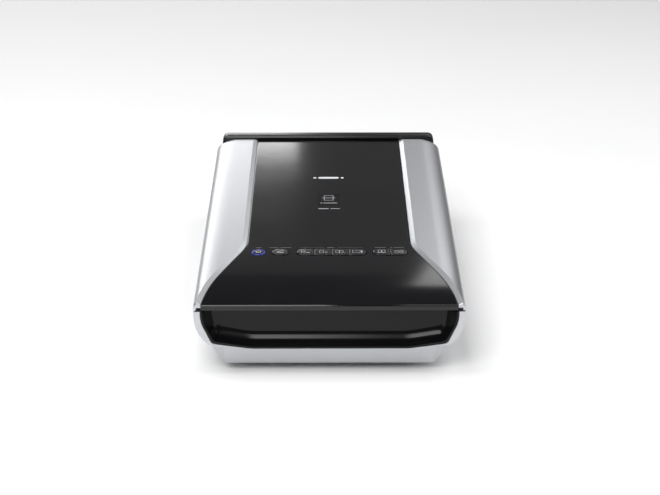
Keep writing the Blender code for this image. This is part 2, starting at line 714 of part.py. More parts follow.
def wing_section(y, inset):
    """A wing's section at y, right side, inset for its hollow. It starts at its inner foot."""
    edge = panel_edge(y)
    inner, outer = edge + inset * 0.85, wing_half(y) - inset
    step = panel_height(y) + 0.4
    foot = step - 2.9 if FRONT + 8 < y < WING_REAR_Y - 3 else TRAY_TOP_Z + GAP
    bevel_x = min(edge + BEVEL, HALF - 2.4)
    points = [(inner, foot), (inner, step - inset * 0.7)]
    for share in (0, 0.25, 0.5, 0.7, 0.84, 0.93, 0.98):
        x = bevel_x + (HALF - bevel_x) * share
        squeezed = inner + (x - edge) * (outer - inner) / (HALF - edge)
        points.append((squeezed, wing_height(x, y) - inset))
    points += [(outer, crest_height(y) - inset * 0.5), (outer, LID_Z)]
    return points + [(min(TRAY_HALF + 0.4, outer - 0.6), TRAY_TOP_Z + GAP)]


def wings(lid, silver):
    """The two silver wings: lofted along the lid, hollow beneath and closed at both ends."""
    here = under(lid)
    corner = [WING_REAR_Y - WING_CORNER * (1 - math.sin(math.radians(a))) for a in (0, 18, 35, 65)]
    along = corner + [WING_REAR_Y - 3.1, 150, 50, -50] + [-90 - 8 * i for i in range(18)]
    along = sorted(along + [FRONT + 7.9])
    rear = [WING_REAR_Y - 2.9, WING_REAR_Y]
    inside = [y for y in along if y < WING_REAR_Y - WALL] + [WING_REAR_Y - WALL]
    for side, sign in SIDES.items():
        stations = sorted([FRONT, FRONT + 1, FRONT + FRONT_CORNER] + along + rear)
        solid = loft([[(sign * x, y, z) for x, z in wing_section(y, 0)] for y in stations])
        wing = add(f"{side}_wing", solid, silver, lid, here, 25)
        hollow = []
        for y in [FRONT + WALL] + inside:
            section = wing_section(y, SHELL)
            low = [(section[0][0], LID_Z - 3)] + section[1:-2] + [(section[-2][0], LID_Z - 3)]
            hollow.append([(sign * x, y, z) for x, z in low])
        cut(wing, add(f"{side}_wing_hollow", loft(hollow), None, lid, here))


def rear_cover(lid, black):
    """The bar across the rear of the lid: a channel, open below, notched round the hinges."""
    here = under(lid)
    crown = [(COVER_FRONT_Y, 107), (226.3, 109.2), (230, 110.6), (235, HEIGHT), (238, 110.5)]
    outer = [(COVER_FRONT_Y, COVER_LOW_Z)] + crown + [(REAR, 108.4), (REAR, COVER_LOW_Z)]
    cover = add("rear_cover", prism(outer, "X", -COVER_HALF, COVER_HALF), black, lid, here)
    inner = [(220, 60), (220, 104.5), (226.5, 106), (231, 108), (235, 108.4)]
    inner += [(REAR - WALL, 107), (REAR - WALL, 60)]
    side = COVER_HALF - WALL
    cut(cover, add("cover_inside", prism(inner, "X", -side, side), None, lid, here))
    plan = rounded_box((-COVER_HALF, 200), (COVER_HALF, REAR), (0, 0, 9, 9), 5)
    combine(cover, "INTERSECT", add("cover_plan", prism(plan, "Z", 50, 130), None, lid, here))
    face = rounded_box((-COVER_HALF, 50), (COVER_HALF, HEIGHT), (0, 0, 7, 7), 5)
    combine(cover, "INTERSECT", add("cover_face", prism(face, "Y", 210, 250), None, lid, here))
    for side_name, sign in SIDES.items():
        x = sign * POST_X
        notch = block((x - 19.2, 220, 60), (x + 19.2, 250, 88))
        cut(cover, add(f"cover_notch_{side_name}", notch, None, lid, here))


def film_light(lid, milky, acrylic, rubber):
    here = under(lid)
    add("film_window", block((-39.5, -103.5, 72.2), (39.5, 153.5, 74.2)), milky, lid, here)
    add("film_light_guide", block((-38, -102, 74.6), (38, 152, 79.6)), acrylic, lid, here)
    for row, y in (("front", -205), ("rear", 204)):
        for side, sign in SIDES.items():
            plan = rounded_box((sign * 122 - 6, y - 4), (sign * 122 + 6, y + 4), 2)
            pad = prism(plan, "Z", FRAME_TOP_Z + 0.35, LID_Z - GAP)
            add(f"lid_bumper_{row}_{side}", pad, rubber, lid, here)


def document_mat(lid, white):
    """The white backing sheet. Two hooks hold it, and it slides towards the front to come off."""
    slide = pivot("document_mat_slide", (0, 0, 0), lid)
    here = (0, 0, 0)
    plan = rounded_box((-110, -126), (110, 190), 5)
    mat = add("document_mat", prism(plan, "Z", 67.8, 69.0), white, slide, here)
    for side, sign in SIDES.items():
        x = sign * HOOK_X
        stem = block((x - 5, 180.5, 68.4), (x + 5, 182.7, 73.2))
        lip = block((x - 5, 180.5, 72.2), (x + 5, 188, 73.4))
        join(mat, add(f"hook_stem_{side}", stem, None, slide, here))
        join(mat, add(f"hook_lip_{side}", lip, None, slide, here))


# ---- Carriage ----
def carriage(black, white, steel, mirror, board_green, lens):
    """The optical head: housing, lamp, mirror, lens and sensor, on a bush that runs on the rod."""
    slide = pivot("carriage_slide", (0, CARRIAGE_Y, 0))
    half = CARRIAGE_LENGTH / 2
    low, high = CARRIAGE_BOTTOM_Z, CARRIAGE_TOP_Z
    box = block((-CARRIAGE_HALF_X, -half, low), (CARRIAGE_HALF_X, half, high))
    housing = add("carriage_housing", box, black, slide)
    join(
        housing,
        add("slider_foot", block((74, -6, 21.6), (86, 6, low + 1)), None, slide),
        add("lock_lug", block((68, -8, 15), (72, 8, low + 1)), None, slide),
    )
    cut(
        housing,
        add("head_room", block((-106, -25.5, low + WALL), (106, 25.5, high - WALL)), None, slide),
        add("light_slot", block((-105, 13, high - 5), (105, 21, high + 5)), None, slide),
        add("lug_hole", block((60, -2.5, 16.5), (80, 2.5, 21.5)), None, slide),
    )
    body = block((ROD_X - 10, -half, 13.6), (ROD_X + 10, half, low - GAP))
    bush = add("rod_bush", body, white, slide)
    bore = cylinder(ROD_R + 0.35, -40, 40, 24, "Y")
    cut(bush, add("bush_bore", bore, None, slide, (ROD_X, 0, ROD_Z)))
    edge = [(4, high + GAP), (12.5, high + GAP), (12.5, high + 1.2), (9.5, high + 2.4)]
    add("lamp_bar", prism(edge + [(4, high + 2.4)], "X", -105, 105), lens, slide)
    glass = prism([(9, 30), (10.4, 28.6), (24.9, 43.1), (23.5, 44.5)], "X", -100, 100)
    add("fold_mirror", glass, mirror, slide)
    barrel = turned([(0, -20.5), (9, -20.5), (9, -12), (7, -12), (7, -8), (0, -8)], 24, "Y")
    add("lens_barrel", barrel, steel, slide, (0, 0, 37), 40)
    board = add("sensor_board", block((-34, -24.6, 28), (34, -23, 52)), board_green, slide)
    join(board, add("sensor_chip", block((-24, -23.5, 34), (24, -21.9, 40)), None, slide))
    x = BELT_X + BELT_PITCH_R
    clamp = add("belt_clamp", block((x - 4, -8, 13.4), (x + 4, 8, low - GAP)), white, slide)
    half_slot = BELT_THICK / 2 + GAP
    slot = block((x - half_slot, -12, BELT_LOW_Z - GAP), (x + half_slot, 12, BELT_HIGH_Z + GAP))
    cut(clamp, add("clamp_slot", slot, None, slide))


def build():
    silver = material("silver paint", (0.55, 0.56, 0.58), 0.35, 0.6)
    gloss_black = material("gloss black plastic", (0.012, 0.012, 0.014), 0.12)
    black = material("matt black plastic", (0.02, 0.02, 0.022), 0.5)
    rubber = material("rubber", (0.03, 0.03, 0.03), 0.9)
    glass = material("glass", (0.75, 0.85, 0.82), 0.03)
    white = material("white plastic", (0.85, 0.85, 0.83), 0.5)
    steel = material("steel", (0.6, 0.6, 0.62), 0.3, 1.0)
    board_green = material("circuit board", (0.02, 0.15, 0.06), 0.5)
    milky = material("milky acrylic", (0.8, 0.82, 0.84), 0.3)
    lens = material("lit lens", (0.1, 0.2, 0.9), 0.2)
    mirror = material("mirror", (0.9, 0.9, 0.9), 0.02, 1.0)

    base = pivot("base")
    lower_case(base, silver)
    front_scoop(base, gloss_black)
    platen(base, black, glass, white)
    feet(base, rubber)
    electronics(base, board_green, steel, black, white)
    drive(base, steel, white, black, rubber)
    hinge_sockets(base, black)
    transport_lock(black)
    carriage(black, white, steel, mirror, board_green, milky)
    hinge_posts(black, steel)

    lid = pivot("lid_hinge", (0, PIN_Y, PIN_Z))
    lid_tray(lid, black)
    centre_panel(lid, gloss_black)
    wings(lid, silver)
    rear_cover(lid, gloss_black)
    film_light(lid, milky, glass, rubber)
    buttons(lid, black, board_green, lens)
    document_mat(lid, white)


for old in list(bpy.data.objects):
    bpy.data.objects.remove(old)
build()
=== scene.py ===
"""The looks of a flatbed document and film scanner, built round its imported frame.

Lengths are written in millimetres and turned into metres where vertices are placed. +X is to the
user's right, +Y runs away from the user and +Z is up. Overall places come from the frame's boxes.
"""

import logging
import math
from dataclasses import dataclass
from enum import Enum
from typing import Callable, Iterable, Sequence, Union

import bpy
from mathutils import Matrix, Vector


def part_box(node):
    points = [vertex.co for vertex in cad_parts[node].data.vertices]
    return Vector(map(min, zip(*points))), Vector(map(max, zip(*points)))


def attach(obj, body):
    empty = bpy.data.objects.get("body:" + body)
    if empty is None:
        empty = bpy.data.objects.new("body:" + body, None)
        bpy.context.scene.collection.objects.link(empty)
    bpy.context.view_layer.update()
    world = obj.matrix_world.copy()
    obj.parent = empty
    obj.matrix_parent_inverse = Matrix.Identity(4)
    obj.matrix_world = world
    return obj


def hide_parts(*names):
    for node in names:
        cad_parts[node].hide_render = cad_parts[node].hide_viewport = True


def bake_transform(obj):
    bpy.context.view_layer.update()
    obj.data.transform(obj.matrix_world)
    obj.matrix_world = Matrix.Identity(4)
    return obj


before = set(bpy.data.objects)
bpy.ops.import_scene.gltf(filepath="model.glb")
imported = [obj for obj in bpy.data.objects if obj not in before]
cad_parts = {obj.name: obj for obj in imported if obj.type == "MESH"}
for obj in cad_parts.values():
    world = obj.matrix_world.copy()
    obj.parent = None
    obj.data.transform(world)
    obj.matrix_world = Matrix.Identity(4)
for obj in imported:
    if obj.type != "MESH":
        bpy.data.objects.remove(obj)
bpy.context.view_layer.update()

LOG = logging.getLogger("scanner")
MM = 0.001
SIDES = {"left": -1.0, "right": 1.0}

Point2 = tuple[float, float]
Point3 = tuple[float, float, float]
Value = Union[float, "Wire"]


def low(node: str) -> Vector:
    """A CAD node's lowest corner, in millimetres."""
    return Vector(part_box(node)[0]) / MM


def high(node: str) -> Vector:
    """A CAD node's highest corner, in millimetres."""
    return Vector(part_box(node)[1]) / MM


def middle(node: str) -> Vector:
    """The middle of a node's box, in millimetres."""
    return (low(node) + high(node)) / 2


HALF = high("lower_case").x
FRONT = low("lower_case").y
REAR = high("lower_case").y
FLOOR_Z = low("lower_case").z
RIM_Z = high("lower_case").z
LID_Z = low("lid_tray").z
WING_REAR_Y = high("left_wing").y
PANEL_REAR_Y = high("centre_panel").y
POST_X = middle("right_hinge_post").x
ROW_Y = middle("auto_scan_button").y
FRAME_TOP_Z = high("platen_frame").z
GAP = 0.3


# ---------------------------------------------------------------------------------------------
# Shader maths and materials
# ---------------------------------------------------------------------------------------------
class Wire:
    """An output socket of a material. Arithmetic on it adds the Math nodes that work it out."""

    def __init__(self, shader: "Shader", socket: bpy.types.NodeSocket) -> None:
        """Wraps a socket.

        Args:
            shader: The material that the socket's node belongs to.
            socket: The output socket.
        """
        self.shader = shader
        self.socket = socket

    def _math(self, operation: str, first: Value, second: Value = 0.0) -> "Wire":
        """Adds one Math node.

        Args:
            operation: The node's operation.
            first: Its first value.
            second: Its second value.

        Returns:
            The node's output.
        """
        settings = {"operation": operation}
        return self.shader.node("ShaderNodeMath", settings, {0: first, 1: second})

    def __add__(self, other: Value) -> "Wire":
        """self + other"""
        return self._math("ADD", self, other)

    def __sub__(self, other: Value) -> "Wire":
        """self - other"""
        return self._math("SUBTRACT", self, other)

    def __rsub__(self, other: Value) -> "Wire":
        """other - self"""
        return self._math("SUBTRACT", other, self)

    def __mul__(self, other: Value) -> "Wire":
        """self * other"""
        return self._math("MULTIPLY", self, other)

    def __truediv__(self, other: Value) -> "Wire":
        """self / other"""
        return self._math("DIVIDE", self, other)

    def __pow__(self, other: Value) -> "Wire":
        """self ** other"""
        return self._math("POWER", self, other)

    __radd__ = __add__
    __rmul__ = __mul__

    def above(self, edge: float) -> "Wire":
        """1 where self is greater than the edge, else 0."""
        return self._math("GREATER_THAN", self, edge)

    def wrapped(self, period: float) -> "Wire":
        """self folded into a repeating stretch from 0 to period.

        Args:
            period: The length of one repeat.

        Returns:
            The folded value.
        """
        return self.shader.node(
            "ShaderNodeMath", {"operation": "FLOORED_MODULO"}, {0: self, 1: period}
        )

    def size(self) -> "Wire":
        """The absolute value of self."""
        return self._math("ABSOLUTE", self)


class Shader:
    """Builds one material round its Principled shader."""

    def __init__(self, name: str) -> None:
        """Makes an empty node material.

        Args:
            name: The material's name.
        """
        self.material = bpy.data.materials.new(name)
        self.material.use_nodes = True
        self.tree = self.material.node_tree
        self.principled = self.tree.nodes["Principled BSDF"]

    def node(
        self, kind: str, settings: dict[str, object], values: dict, output: int | str = 0
    ) -> Wire:
        """Adds a node.

        Args:
            kind: The node's type.
            settings: Properties of the node. "stops" holds a ramp's (place, colour) pairs.
            values: What its input sockets hold, by name or number: numbers, colours or Wires.
            output: The output socket to return.

        Returns:
            That output.
        """
        made = self.tree.nodes.new(kind)
        for key, setting in settings.items():
            if key == "stops":
                self._set_stops(made.color_ramp, setting)
            else:
                setattr(made, key, setting)
        for key, value in values.items():
            if isinstance(value, Wire):
                self.tree.links.new(value.socket, made.inputs[key])
            else:
                made.inputs[key].default_value = value
        return Wire(self, made.outputs[output])

    @staticmethod
    def _set_stops(ramp: bpy.types.ColorRamp, stops: Sequence[tuple[float, Sequence]]) -> None:
        """Sets a colour ramp's stops.

        Args:
            ramp: The ramp, which has two stops when it's new.
            stops: (place, colour) pairs, at least two.
        """
        while len(ramp.elements) < len(stops):
            ramp.elements.new(1.0)
        for element, (place, colour) in zip(ramp.elements, stops):
            element.position = place
            element.color = (*colour, 1.0) if len(colour) == 3 else colour

    def set(self, values: dict[str, object]) -> None:
        """Sets or links sockets of the Principled shader.

        Args:
            values: Numbers, colours or Wires by socket name.
        """
        for key, value in values.items():
            if isinstance(value, Wire):
                self.tree.links.new(value.socket, self.principled.inputs[key])
            else:
                self.principled.inputs[key].default_value = value

    def place(self) -> Wire:
        """The point's place on the object, in metres."""
        return self.node("ShaderNodeTexCoord", {}, {}, "Object")

    def axis(self, name: str) -> Wire:
        """One coordinate of the point's place: X, Y or Z."""
        return self.node("ShaderNodeSeparateXYZ", {}, {0: self.place()}, name)

    def noise(
        self, scale: float, detail: float = 2.0, stretch: Point3 = (1.0, 1.0, 1.0)
    ) -> Wire:
        """Soft random values from 0 to 1.

        Args:
            scale: Cells per metre.
            detail: How many finer octaves are added.
            stretch: A factor on the scale along each axis.

        Returns:
            The noise.
        """
        where = self.node("ShaderNodeMapping", {}, {0: self.place(), "Scale": stretch})
        values = {"Vector": where, "Scale": scale, "Detail": detail}
        return self.node("ShaderNodeTexNoise", {}, values, 0)

    def cells(self, scale: float) -> Wire:
        """Distance to the nearest of many scattered points, for a moulded grain."""
        values = {"Vector": self.place(), "Scale": scale}
        return self.node("ShaderNodeTexVoronoi", {"feature": "SMOOTH_F1"}, values, "Distance")

    def ramp(self, factor: Wire, stops: Sequence[tuple[float, Sequence]]) -> Wire:
        """A colour that follows a factor through some stops."""
        return self.node("ShaderNodeValToRGB", {"stops": stops}, {0: factor})

    def spread(self, factor: Wire, start: float, end: float) -> Wire:
        """A factor from 0 to 1 made to run from start to end."""
        return factor * (end - start) + start

    def mix(self, factor: Value, first: Sequence | Wire, second: Sequence | Wire) -> Wire:
        """Mixes two colours.

        Args:
            factor: 0 gives the first, 1 the second.
            first: A colour.
            second: A colour.

        Returns:
            The mixed colour.
        """
        settings = {"data_type": "RGBA", "clamp_factor": True}
        values = {0: factor, 6: self.rgba(first), 7: self.rgba(second)}
        return self.node("ShaderNodeMix", settings, values, 2)

    @staticmethod
    def rgba(colour: Sequence | Wire) -> Sequence | Wire:
        """A colour with its alpha, or a Wire as it is."""
        return colour if isinstance(colour, Wire) else (*colour, 1.0)

    def bump(self, height: Wire, depth_mm: float, strength: float = 1.0) -> None:
        """Feeds a height to the shader's normal.

        Args:
            height: From 0 to 1.
            depth_mm: The real depth of the relief.
            strength: How much of it shows.
        """
        values = {"Height": height, "Distance": depth_mm * MM, "Strength": strength}
        self.set({"Normal": self.node("ShaderNodeBump", {}, values)})


class Colour:
    """Linear colours of the scanner's finishes."""

    SILVER = (0.60, 0.61, 0.63)
    SILVER_DEEP = (0.53, 0.54, 0.56)
    BLACK = (0.0035, 0.0035, 0.004)
    CHARCOAL = (0.007, 0.007, 0.008)
    MILK = (0.80, 0.81, 0.80)
    PRINT = (0.36, 0.365, 0.38)
    BLUE = (0.006, 0.02, 0.27)


@dataclass(frozen=True)
class SilverPaint:
    """Satin silver paint with a fine flake, over moulded plastic."""

    name: str = "satin_silver"
    metallic: float = 0.86
    roughness: float = 0.33

    def build(self) -> bpy.types.Material:
        """Makes the material.

        Returns:
            The material.
        """
        shader = Shader(self.name)
        flake = shader.noise(5200.0, 1.0)
        cloud = shader.noise(7.0, 3.0)
        toned = shader.mix(flake * 0.6 + cloud * 0.4, Colour.SILVER_DEEP, Colour.SILVER)
        peel = shader.noise(420.0, 1.0)
        gloss = shader.spread(flake, self.roughness - 0.035, self.roughness + 0.035)
        shader.set({"Base Color": toned, "Metallic": self.metallic, "Roughness": gloss})
        shader.bump(peel * 0.7 + flake * 0.3, 0.012)
        return shader.material


@dataclass(frozen=True)
class PolishedBlack:
    """Polished black plastic, with faint waves from the mould and a little dust in its gloss."""

    name: str = "polished_black"
    roughness: float = 0.09
    wave_mm: float = 0.012
    shine: float = 0.5

    def build(self) -> bpy.types.Material:
        """Makes the material.

        Returns:
            The material.
        """
        shader = Shader(self.name)
        cloud = shader.noise(14.0, 4.0)
        dust = shader.noise(2600.0, 2.0)
        tint = shader.mix(cloud, Colour.BLACK, Colour.CHARCOAL)
        haze = cloud * 0.7 + dust * 0.3
        gloss = shader.spread(haze, self.roughness - 0.015, self.roughness + 0.03)
        shader.set({"Base Color": tint, "Roughness": gloss, "Specular IOR Level": self.shine})
        shader.bump(shader.noise(55.0, 1.0), self.wave_mm)
        return shader.material


@dataclass(frozen=True)
class GrainedBlack:
    """Black plastic from a spark-eroded mould: a fine, even grain."""

    name: str = "grained_black"
    grain_per_m: float = 1500.0
    depth_mm: float = 0.035
    roughness: float = 0.5
    shade: Point3 = (0.018, 0.018, 0.02)

    def build(self) -> bpy.types.Material:
        """Makes the material.

        Returns:
            The material.
        """
        shader = Shader(self.name)
        grain = shader.cells(self.grain_per_m)
        cloud = shader.noise(22.0, 3.0)
        worn = tuple(channel * 1.6 for channel in self.shade)
        gloss = shader.spread(grain, self.roughness - 0.07, self.roughness + 0.12)
        tint = shader.mix(grain * 0.5 + cloud * 0.4, self.shade, worn)
        shader.set({"Base Color": tint, "Roughness": gloss})
        shader.bump(grain, self.depth_mm)
        return shader.material


@dataclass(frozen=True)
class Rubber:
    """Soft black rubber with a dusty bloom."""

    name: str = "soft_rubber"

    def build(self) -> bpy.types.Material:
        """Makes the material.

        Returns:
            The material.
        """
        shader = Shader(self.name)
        bloom = shader.noise(160.0, 5.0)
        tint = shader.mix(bloom, (0.018, 0.018, 0.018), (0.045, 0.044, 0.042))
        shader.set({"Base Color": tint, "Roughness": shader.spread(bloom, 0.72, 0.95)})
        shader.bump(shader.noise(900.0, 3.0), 0.03)
        return shader.material


@dataclass(frozen=True)
class ClearPlate:
    """Clear glass or acrylic, with faint smears in its gloss."""

    name: str
    tint: Point3
    ior: float
    smear: float = 0.03

    def build(self) -> bpy.types.Material:
        """Makes the material.

        Returns:
            The material.
        """
        shader = Shader(self.name)
        wiped = shader.noise(26.0, 4.0, (1.0, 0.25, 1.0))
        pale = shader.mix(wiped, self.tint, (0.97, 0.98, 0.98))
        gloss = shader.spread(wiped**3.0, 0.0, self.smear)
        shader.set({"Base Color": pale, "Roughness": gloss, "IOR": self.ior})
        shader.set({"Transmission Weight": 0.96, "Alpha": 1.0})
        return shader.material


@dataclass(frozen=True)
class PalePlastic:
    """White or milky plastic, with a slight mottle."""

    name: str
    shade: Point3 = Colour.MILK
    roughness: float = 0.45
    grain_mm: float = 0.01

    def build(self) -> bpy.types.Material:
        """Makes the material.

        Returns:
            The material.
        """
        shader = Shader(self.name)
        mottle = shader.noise(34.0, 4.0)
        warm = (self.shade[0], self.shade[1] * 0.985, self.shade[2] * 0.95)
        gloss = shader.spread(mottle, self.roughness - 0.06, self.roughness + 0.08)
        shader.set({"Base Color": shader.mix(mottle, self.shade, warm), "Roughness": gloss})
        shader.bump(shader.noise(1300.0, 2.0), self.grain_mm)
        return shader.material


@dataclass(frozen=True)
class GroundSteel:
    """Bright steel, ground along its length."""

    name: str = "ground_steel"
    shade: Point3 = (0.56, 0.56, 0.57)
    stretch: Point3 = (1.0, 0.03, 1.0)
    roughness: float = 0.26

    def build(self) -> bpy.types.Material:
        """Makes the material.

        Returns:
            The material.
        """
        shader = Shader(self.name)
        scratch = shader.noise(2400.0, 2.0, self.stretch)
        stain = shader.noise(40.0, 4.0)
        dull = tuple(channel * 0.8 for channel in self.shade)
        gloss = shader.spread(scratch, self.roughness - 0.08, self.roughness + 0.14)
        tint = shader.mix(stain * 0.6 + scratch * 0.3, self.shade, dull)
        shader.set({"Base Color": tint, "Metallic": 1.0, "Roughness": gloss})
        shader.bump(scratch, 0.006)
        return shader.material


@dataclass(frozen=True)
class CircuitBoard:
    """Green lacquer over copper tracks."""

    name: str = "lacquered_board"
    pitch_mm: float = 1.9

    def build(self) -> bpy.types.Material:
        """Makes the material.

        Returns:
            The material.
        """
        shader = Shader(self.name)
        x, y = shader.axis("X"), shader.axis("Y")
        turn = shader.noise(60.0, 0.0).above(0.5)
        across = x * (1.0 - turn) + y * turn
        track = (across.wrapped(self.pitch_mm * MM) / (self.pitch_mm * MM)).above(0.62)
        lacquer = shader.mix(track, (0.008, 0.055, 0.022), (0.02, 0.16, 0.055))
        shader.set({"Base Color": lacquer, "Roughness": shader.spread(track, 0.42, 0.28)})
        shader.bump(track, 0.03)
        return shader.material


@dataclass(frozen=True)
class LitLens:
    """The blue ring round the power button, lit from beneath."""

    name: str = "blue_lens"
    glow: float = 0.2

    def build(self) -> bpy.types.Material:
        """Makes the material.

        Returns:
            The material.
        """
        shader = Shader(self.name)
        uneven = shader.noise(420.0, 2.0)
        light = shader.mix(uneven, (0.002, 0.006, 0.16), (0.005, 0.016, 0.28))
        gloss = shader.spread(uneven, 0.2, 0.34)
        shader.set({"Base Color": Colour.BLUE + (1.0,), "Roughness": gloss})
        shader.set({"Emission Color": light, "Emission Strength": self.glow})
        return shader.material


@dataclass(frozen=True)
class Ink:
    """Pale print on black plastic, a little uneven at its edges."""

    name: str = "pale_print"
    shade: Point3 = Colour.PRINT
    shine: float = 0.4

    def build(self) -> bpy.types.Material:
        """Makes the material.

        Returns:
            The material.
        """
        shader = Shader(self.name)
        grain = shader.noise(2800.0, 2.0)
        thin = tuple(channel * 0.82 for channel in self.shade)
        shader.set({"Base Color": shader.mix(grain, thin, self.shade)})
        gloss = shader.spread(grain, 0.4, 0.6)
        shader.set({"Roughness": gloss, "Specular IOR Level": self.shine})
        return shader.material


@dataclass(frozen=True)
class FlatCable:
    """White flat cable with a row of grey conductors showing through."""

    name: str = "flat_cable"
    pitch_mm: float = 1.0

    def build(self) -> bpy.types.Material:
        """Makes the material.

        Returns:
            The material.
        """
        shader = Shader(self.name)
        along = shader.axis("X").wrapped(self.pitch_mm * MM) / (self.pitch_mm * MM)
        wire = (along - 0.5).size().above(0.24)
        tint = shader.mix(wire, (0.62, 0.63, 0.64), (0.85, 0.86, 0.86))
        shader.set({"Base Color": tint, "Roughness": shader.spread(wire, 0.3, 0.42)})
        shader.bump(wire, 0.05)
        return shader.material


@dataclass(frozen=True)
class Silvering:
    """A front-silvered mirror with a trace of haze."""

    name: str = "silvering"

    def build(self) -> bpy.types.Material:
        """Makes the material.

        Returns:
            The material.
        """
        shader = Shader(self.name)
        haze = shader.noise(80.0, 3.0)
        shader.set({"Base Color": shader.mix(haze, (0.86, 0.87, 0.88), (0.93, 0.93, 0.93))})
        shader.set({"Metallic": 1.0, "Roughness": shader.spread(haze, 0.0, 0.06)})
        return shader.material


@dataclass(frozen=True)
class Studio:
    """The plain pale floor."""

    name: str = "studio_floor"

    def build(self) -> bpy.types.Material:
        """Makes the material.

        Returns:
            The material.
        """
        shader = Shader(self.name)
        paper = shader.noise(3.0, 2.0)
        shader.set({"Base Color": shader.mix(paper, (0.86, 0.86, 0.86), (0.89, 0.89, 0.89))})
        shader.set({"Roughness": shader.spread(paper, 0.85, 0.95)})
        return shader.material


class Finish(Enum):
    """Every finish on the scanner. A finish is built once, when it's first used."""

    SILVER = SilverPaint()
    POLISHED = PolishedBlack()
    LACQUER = PolishedBlack("lacquer_black", 0.2, 0.008)
    KEY = PolishedBlack("key_black", 0.24, 0.004, 0.35)
    TRIM = PolishedBlack("scoop_black", 0.17, 0.008, 0.25)
    GRAINED = GrainedBlack()
    CAVITY = GrainedBlack("cavity_black", 1100.0, 0.02, 0.62, (0.01, 0.01, 0.011))
    SATIN = GrainedBlack("satin_black", 2200.0, 0.012, 0.36, (0.012, 0.012, 0.014))
    RUBBER = Rubber()
    GLASS = ClearPlate("float_glass", (0.90, 0.96, 0.94), 1.52)
    GUIDE = ClearPlate("light_guide", (0.93, 0.95, 0.97), 1.49, 0.18)
    MILK = PalePlastic("opal_acrylic", (0.78, 0.80, 0.82), 0.3, 0.004)
    WHITE = PalePlastic("plain_white")
    MAT = PalePlastic("white_mat", (0.84, 0.84, 0.82), 0.6, 0.03)
    STEEL = GroundSteel()
    DARK_STEEL = GroundSteel("blacked_screw", (0.16, 0.16, 0.165), (1.0, 1.0, 1.0), 0.34)
    GOLD = GroundSteel("plated_contact", (0.78, 0.57, 0.24), (1.0, 1.0, 1.0), 0.22)
    BOARD = CircuitBoard()
    LENS = LitLens()
    PRINT = Ink()
    BRIGHT_PRINT = Ink("bright_print", (0.72, 0.73, 0.75))
    DIM_PRINT = Ink("dim_print", (0.11, 0.11, 0.115))
    PLATE = Ink("badge_plate", (0.003, 0.003, 0.0035), 0.05)
    LABEL = Ink("blank_label", (0.42, 0.43, 0.44))
    CABLE = FlatCable()
    MIRROR = Silvering()
    FLOOR = Studio()

    def material(self) -> bpy.types.Material:
        """The finish's material.

        Returns:
            The material, made once and kept.
        """
        if self not in BUILT:
            BUILT[self] = self.value.build()
        return BUILT[self]


BUILT: dict[Finish, bpy.types.Material] = {}


# ---------------------------------------------------------------------------------------------
# Modelling
# ---------------------------------------------------------------------------------------------
def deselect() -> None:
    """Leaves edit mode and selects nothing."""
    if bpy.context.object and bpy.context.object.mode != "OBJECT":
        bpy.ops.object.mode_set(mode="OBJECT")
    bpy.ops.object.select_all(action="DESELECT")


def arc(centre: Point2, radius: float, start: float, end: float, steps: int) -> list[Point2]:
    """Points on an arc.

    Args:
        centre: The arc's centre.
        radius: Its radius.
        start: Its first angle, in degrees.
        end: Its last angle, in degrees.
        steps: How many chords it has.

    Returns:
        steps + 1 points.
    """
    turns = [math.radians(start + (end - start) * i / steps) for i in range(steps + 1)]
    return [(centre[0] + radius * math.cos(a), centre[1] + radius * math.sin(a)) for a in turns]


def rounded_box(
    start: Point2, end: Point2, radius: float | Sequence[float], steps: int = 8
) -> list[Point2]:
    """A rectangle with round corners.

    Args:
        start: Its lowest corner.
        end: Its highest corner.
        radius: One radius, or four from the lowest corner round by the right.
        steps: Chords in each corner.

    Returns:
        The outline, anticlockwise.
    """
    (u0, v0), (u1, v1) = start, end
    radii = (radius,) * 4 if isinstance(radius, (int, float)) else radius
    corners = ((u0, v0, 1, 1), (u1, v0, -1, 1), (u1, v1, -1, -1), (u0, v1, 1, -1))
    points: list[Point2] = []
    for (u, v, du, dv), r, turn in zip(corners, radii, (180, 270, 0, 90)):
        points += arc((u + du * r, v + dv * r), r, turn, turn + 90, steps) if r else [(u, v)]
    return points


def filleted(corners: Sequence[Point3], steps: int = 8) -> list[Point2]:
    """An open line with its inner corners rounded.

    Args:
        corners: (u, v, radius) of each corner. The first and last are the line's ends.
        steps: Chords in each rounding.

    Returns:
        The line's points.
    """
    points = [corners[0][:2]]
    for before, (u, v, radius), after in zip(corners, corners[1:], corners[2:]):
        here = Vector((u, v))
        back = (Vector(before[:2]) - here).normalized()
        on = (Vector(after[:2]) - here).normalized()
        half = back.angle(on) / 2
        centre = here + (back + on).normalized() * radius / math.sin(half)
        reach = radius / math.tan(half)
        first, last = here + back * reach - centre, here + on * reach - centre
        for i in range(steps + 1):
            points.append(tuple(centre + first.lerp(last, i / steps).normalized() * radius))
    return points + [corners[-1][:2]]


def mirrored(half: Sequence[Point2]) -> list[Point2]:
    """A closed outline from its right half, which runs from the top to the bottom middle."""
    return list(half) + [(-u, v) for u, v in reversed(half) if u > 1e-6]


def between(points: Sequence[Point2], u: float) -> float:
    """The height of a line of (u, v) points at u, read along straight runs.

    Args:
        points: The line, with u rising.
        u: Where to read it.

    Returns:
        The height there.
    """
    for (u0, v0), (u1, v1) in zip(points, points[1:]):
        if u <= u1:
            share = (u - u0) / (u1 - u0) if u1 > u0 else 1.0
            return v0 + (v1 - v0) * max(share, 0.0)
    return points[-1][1]


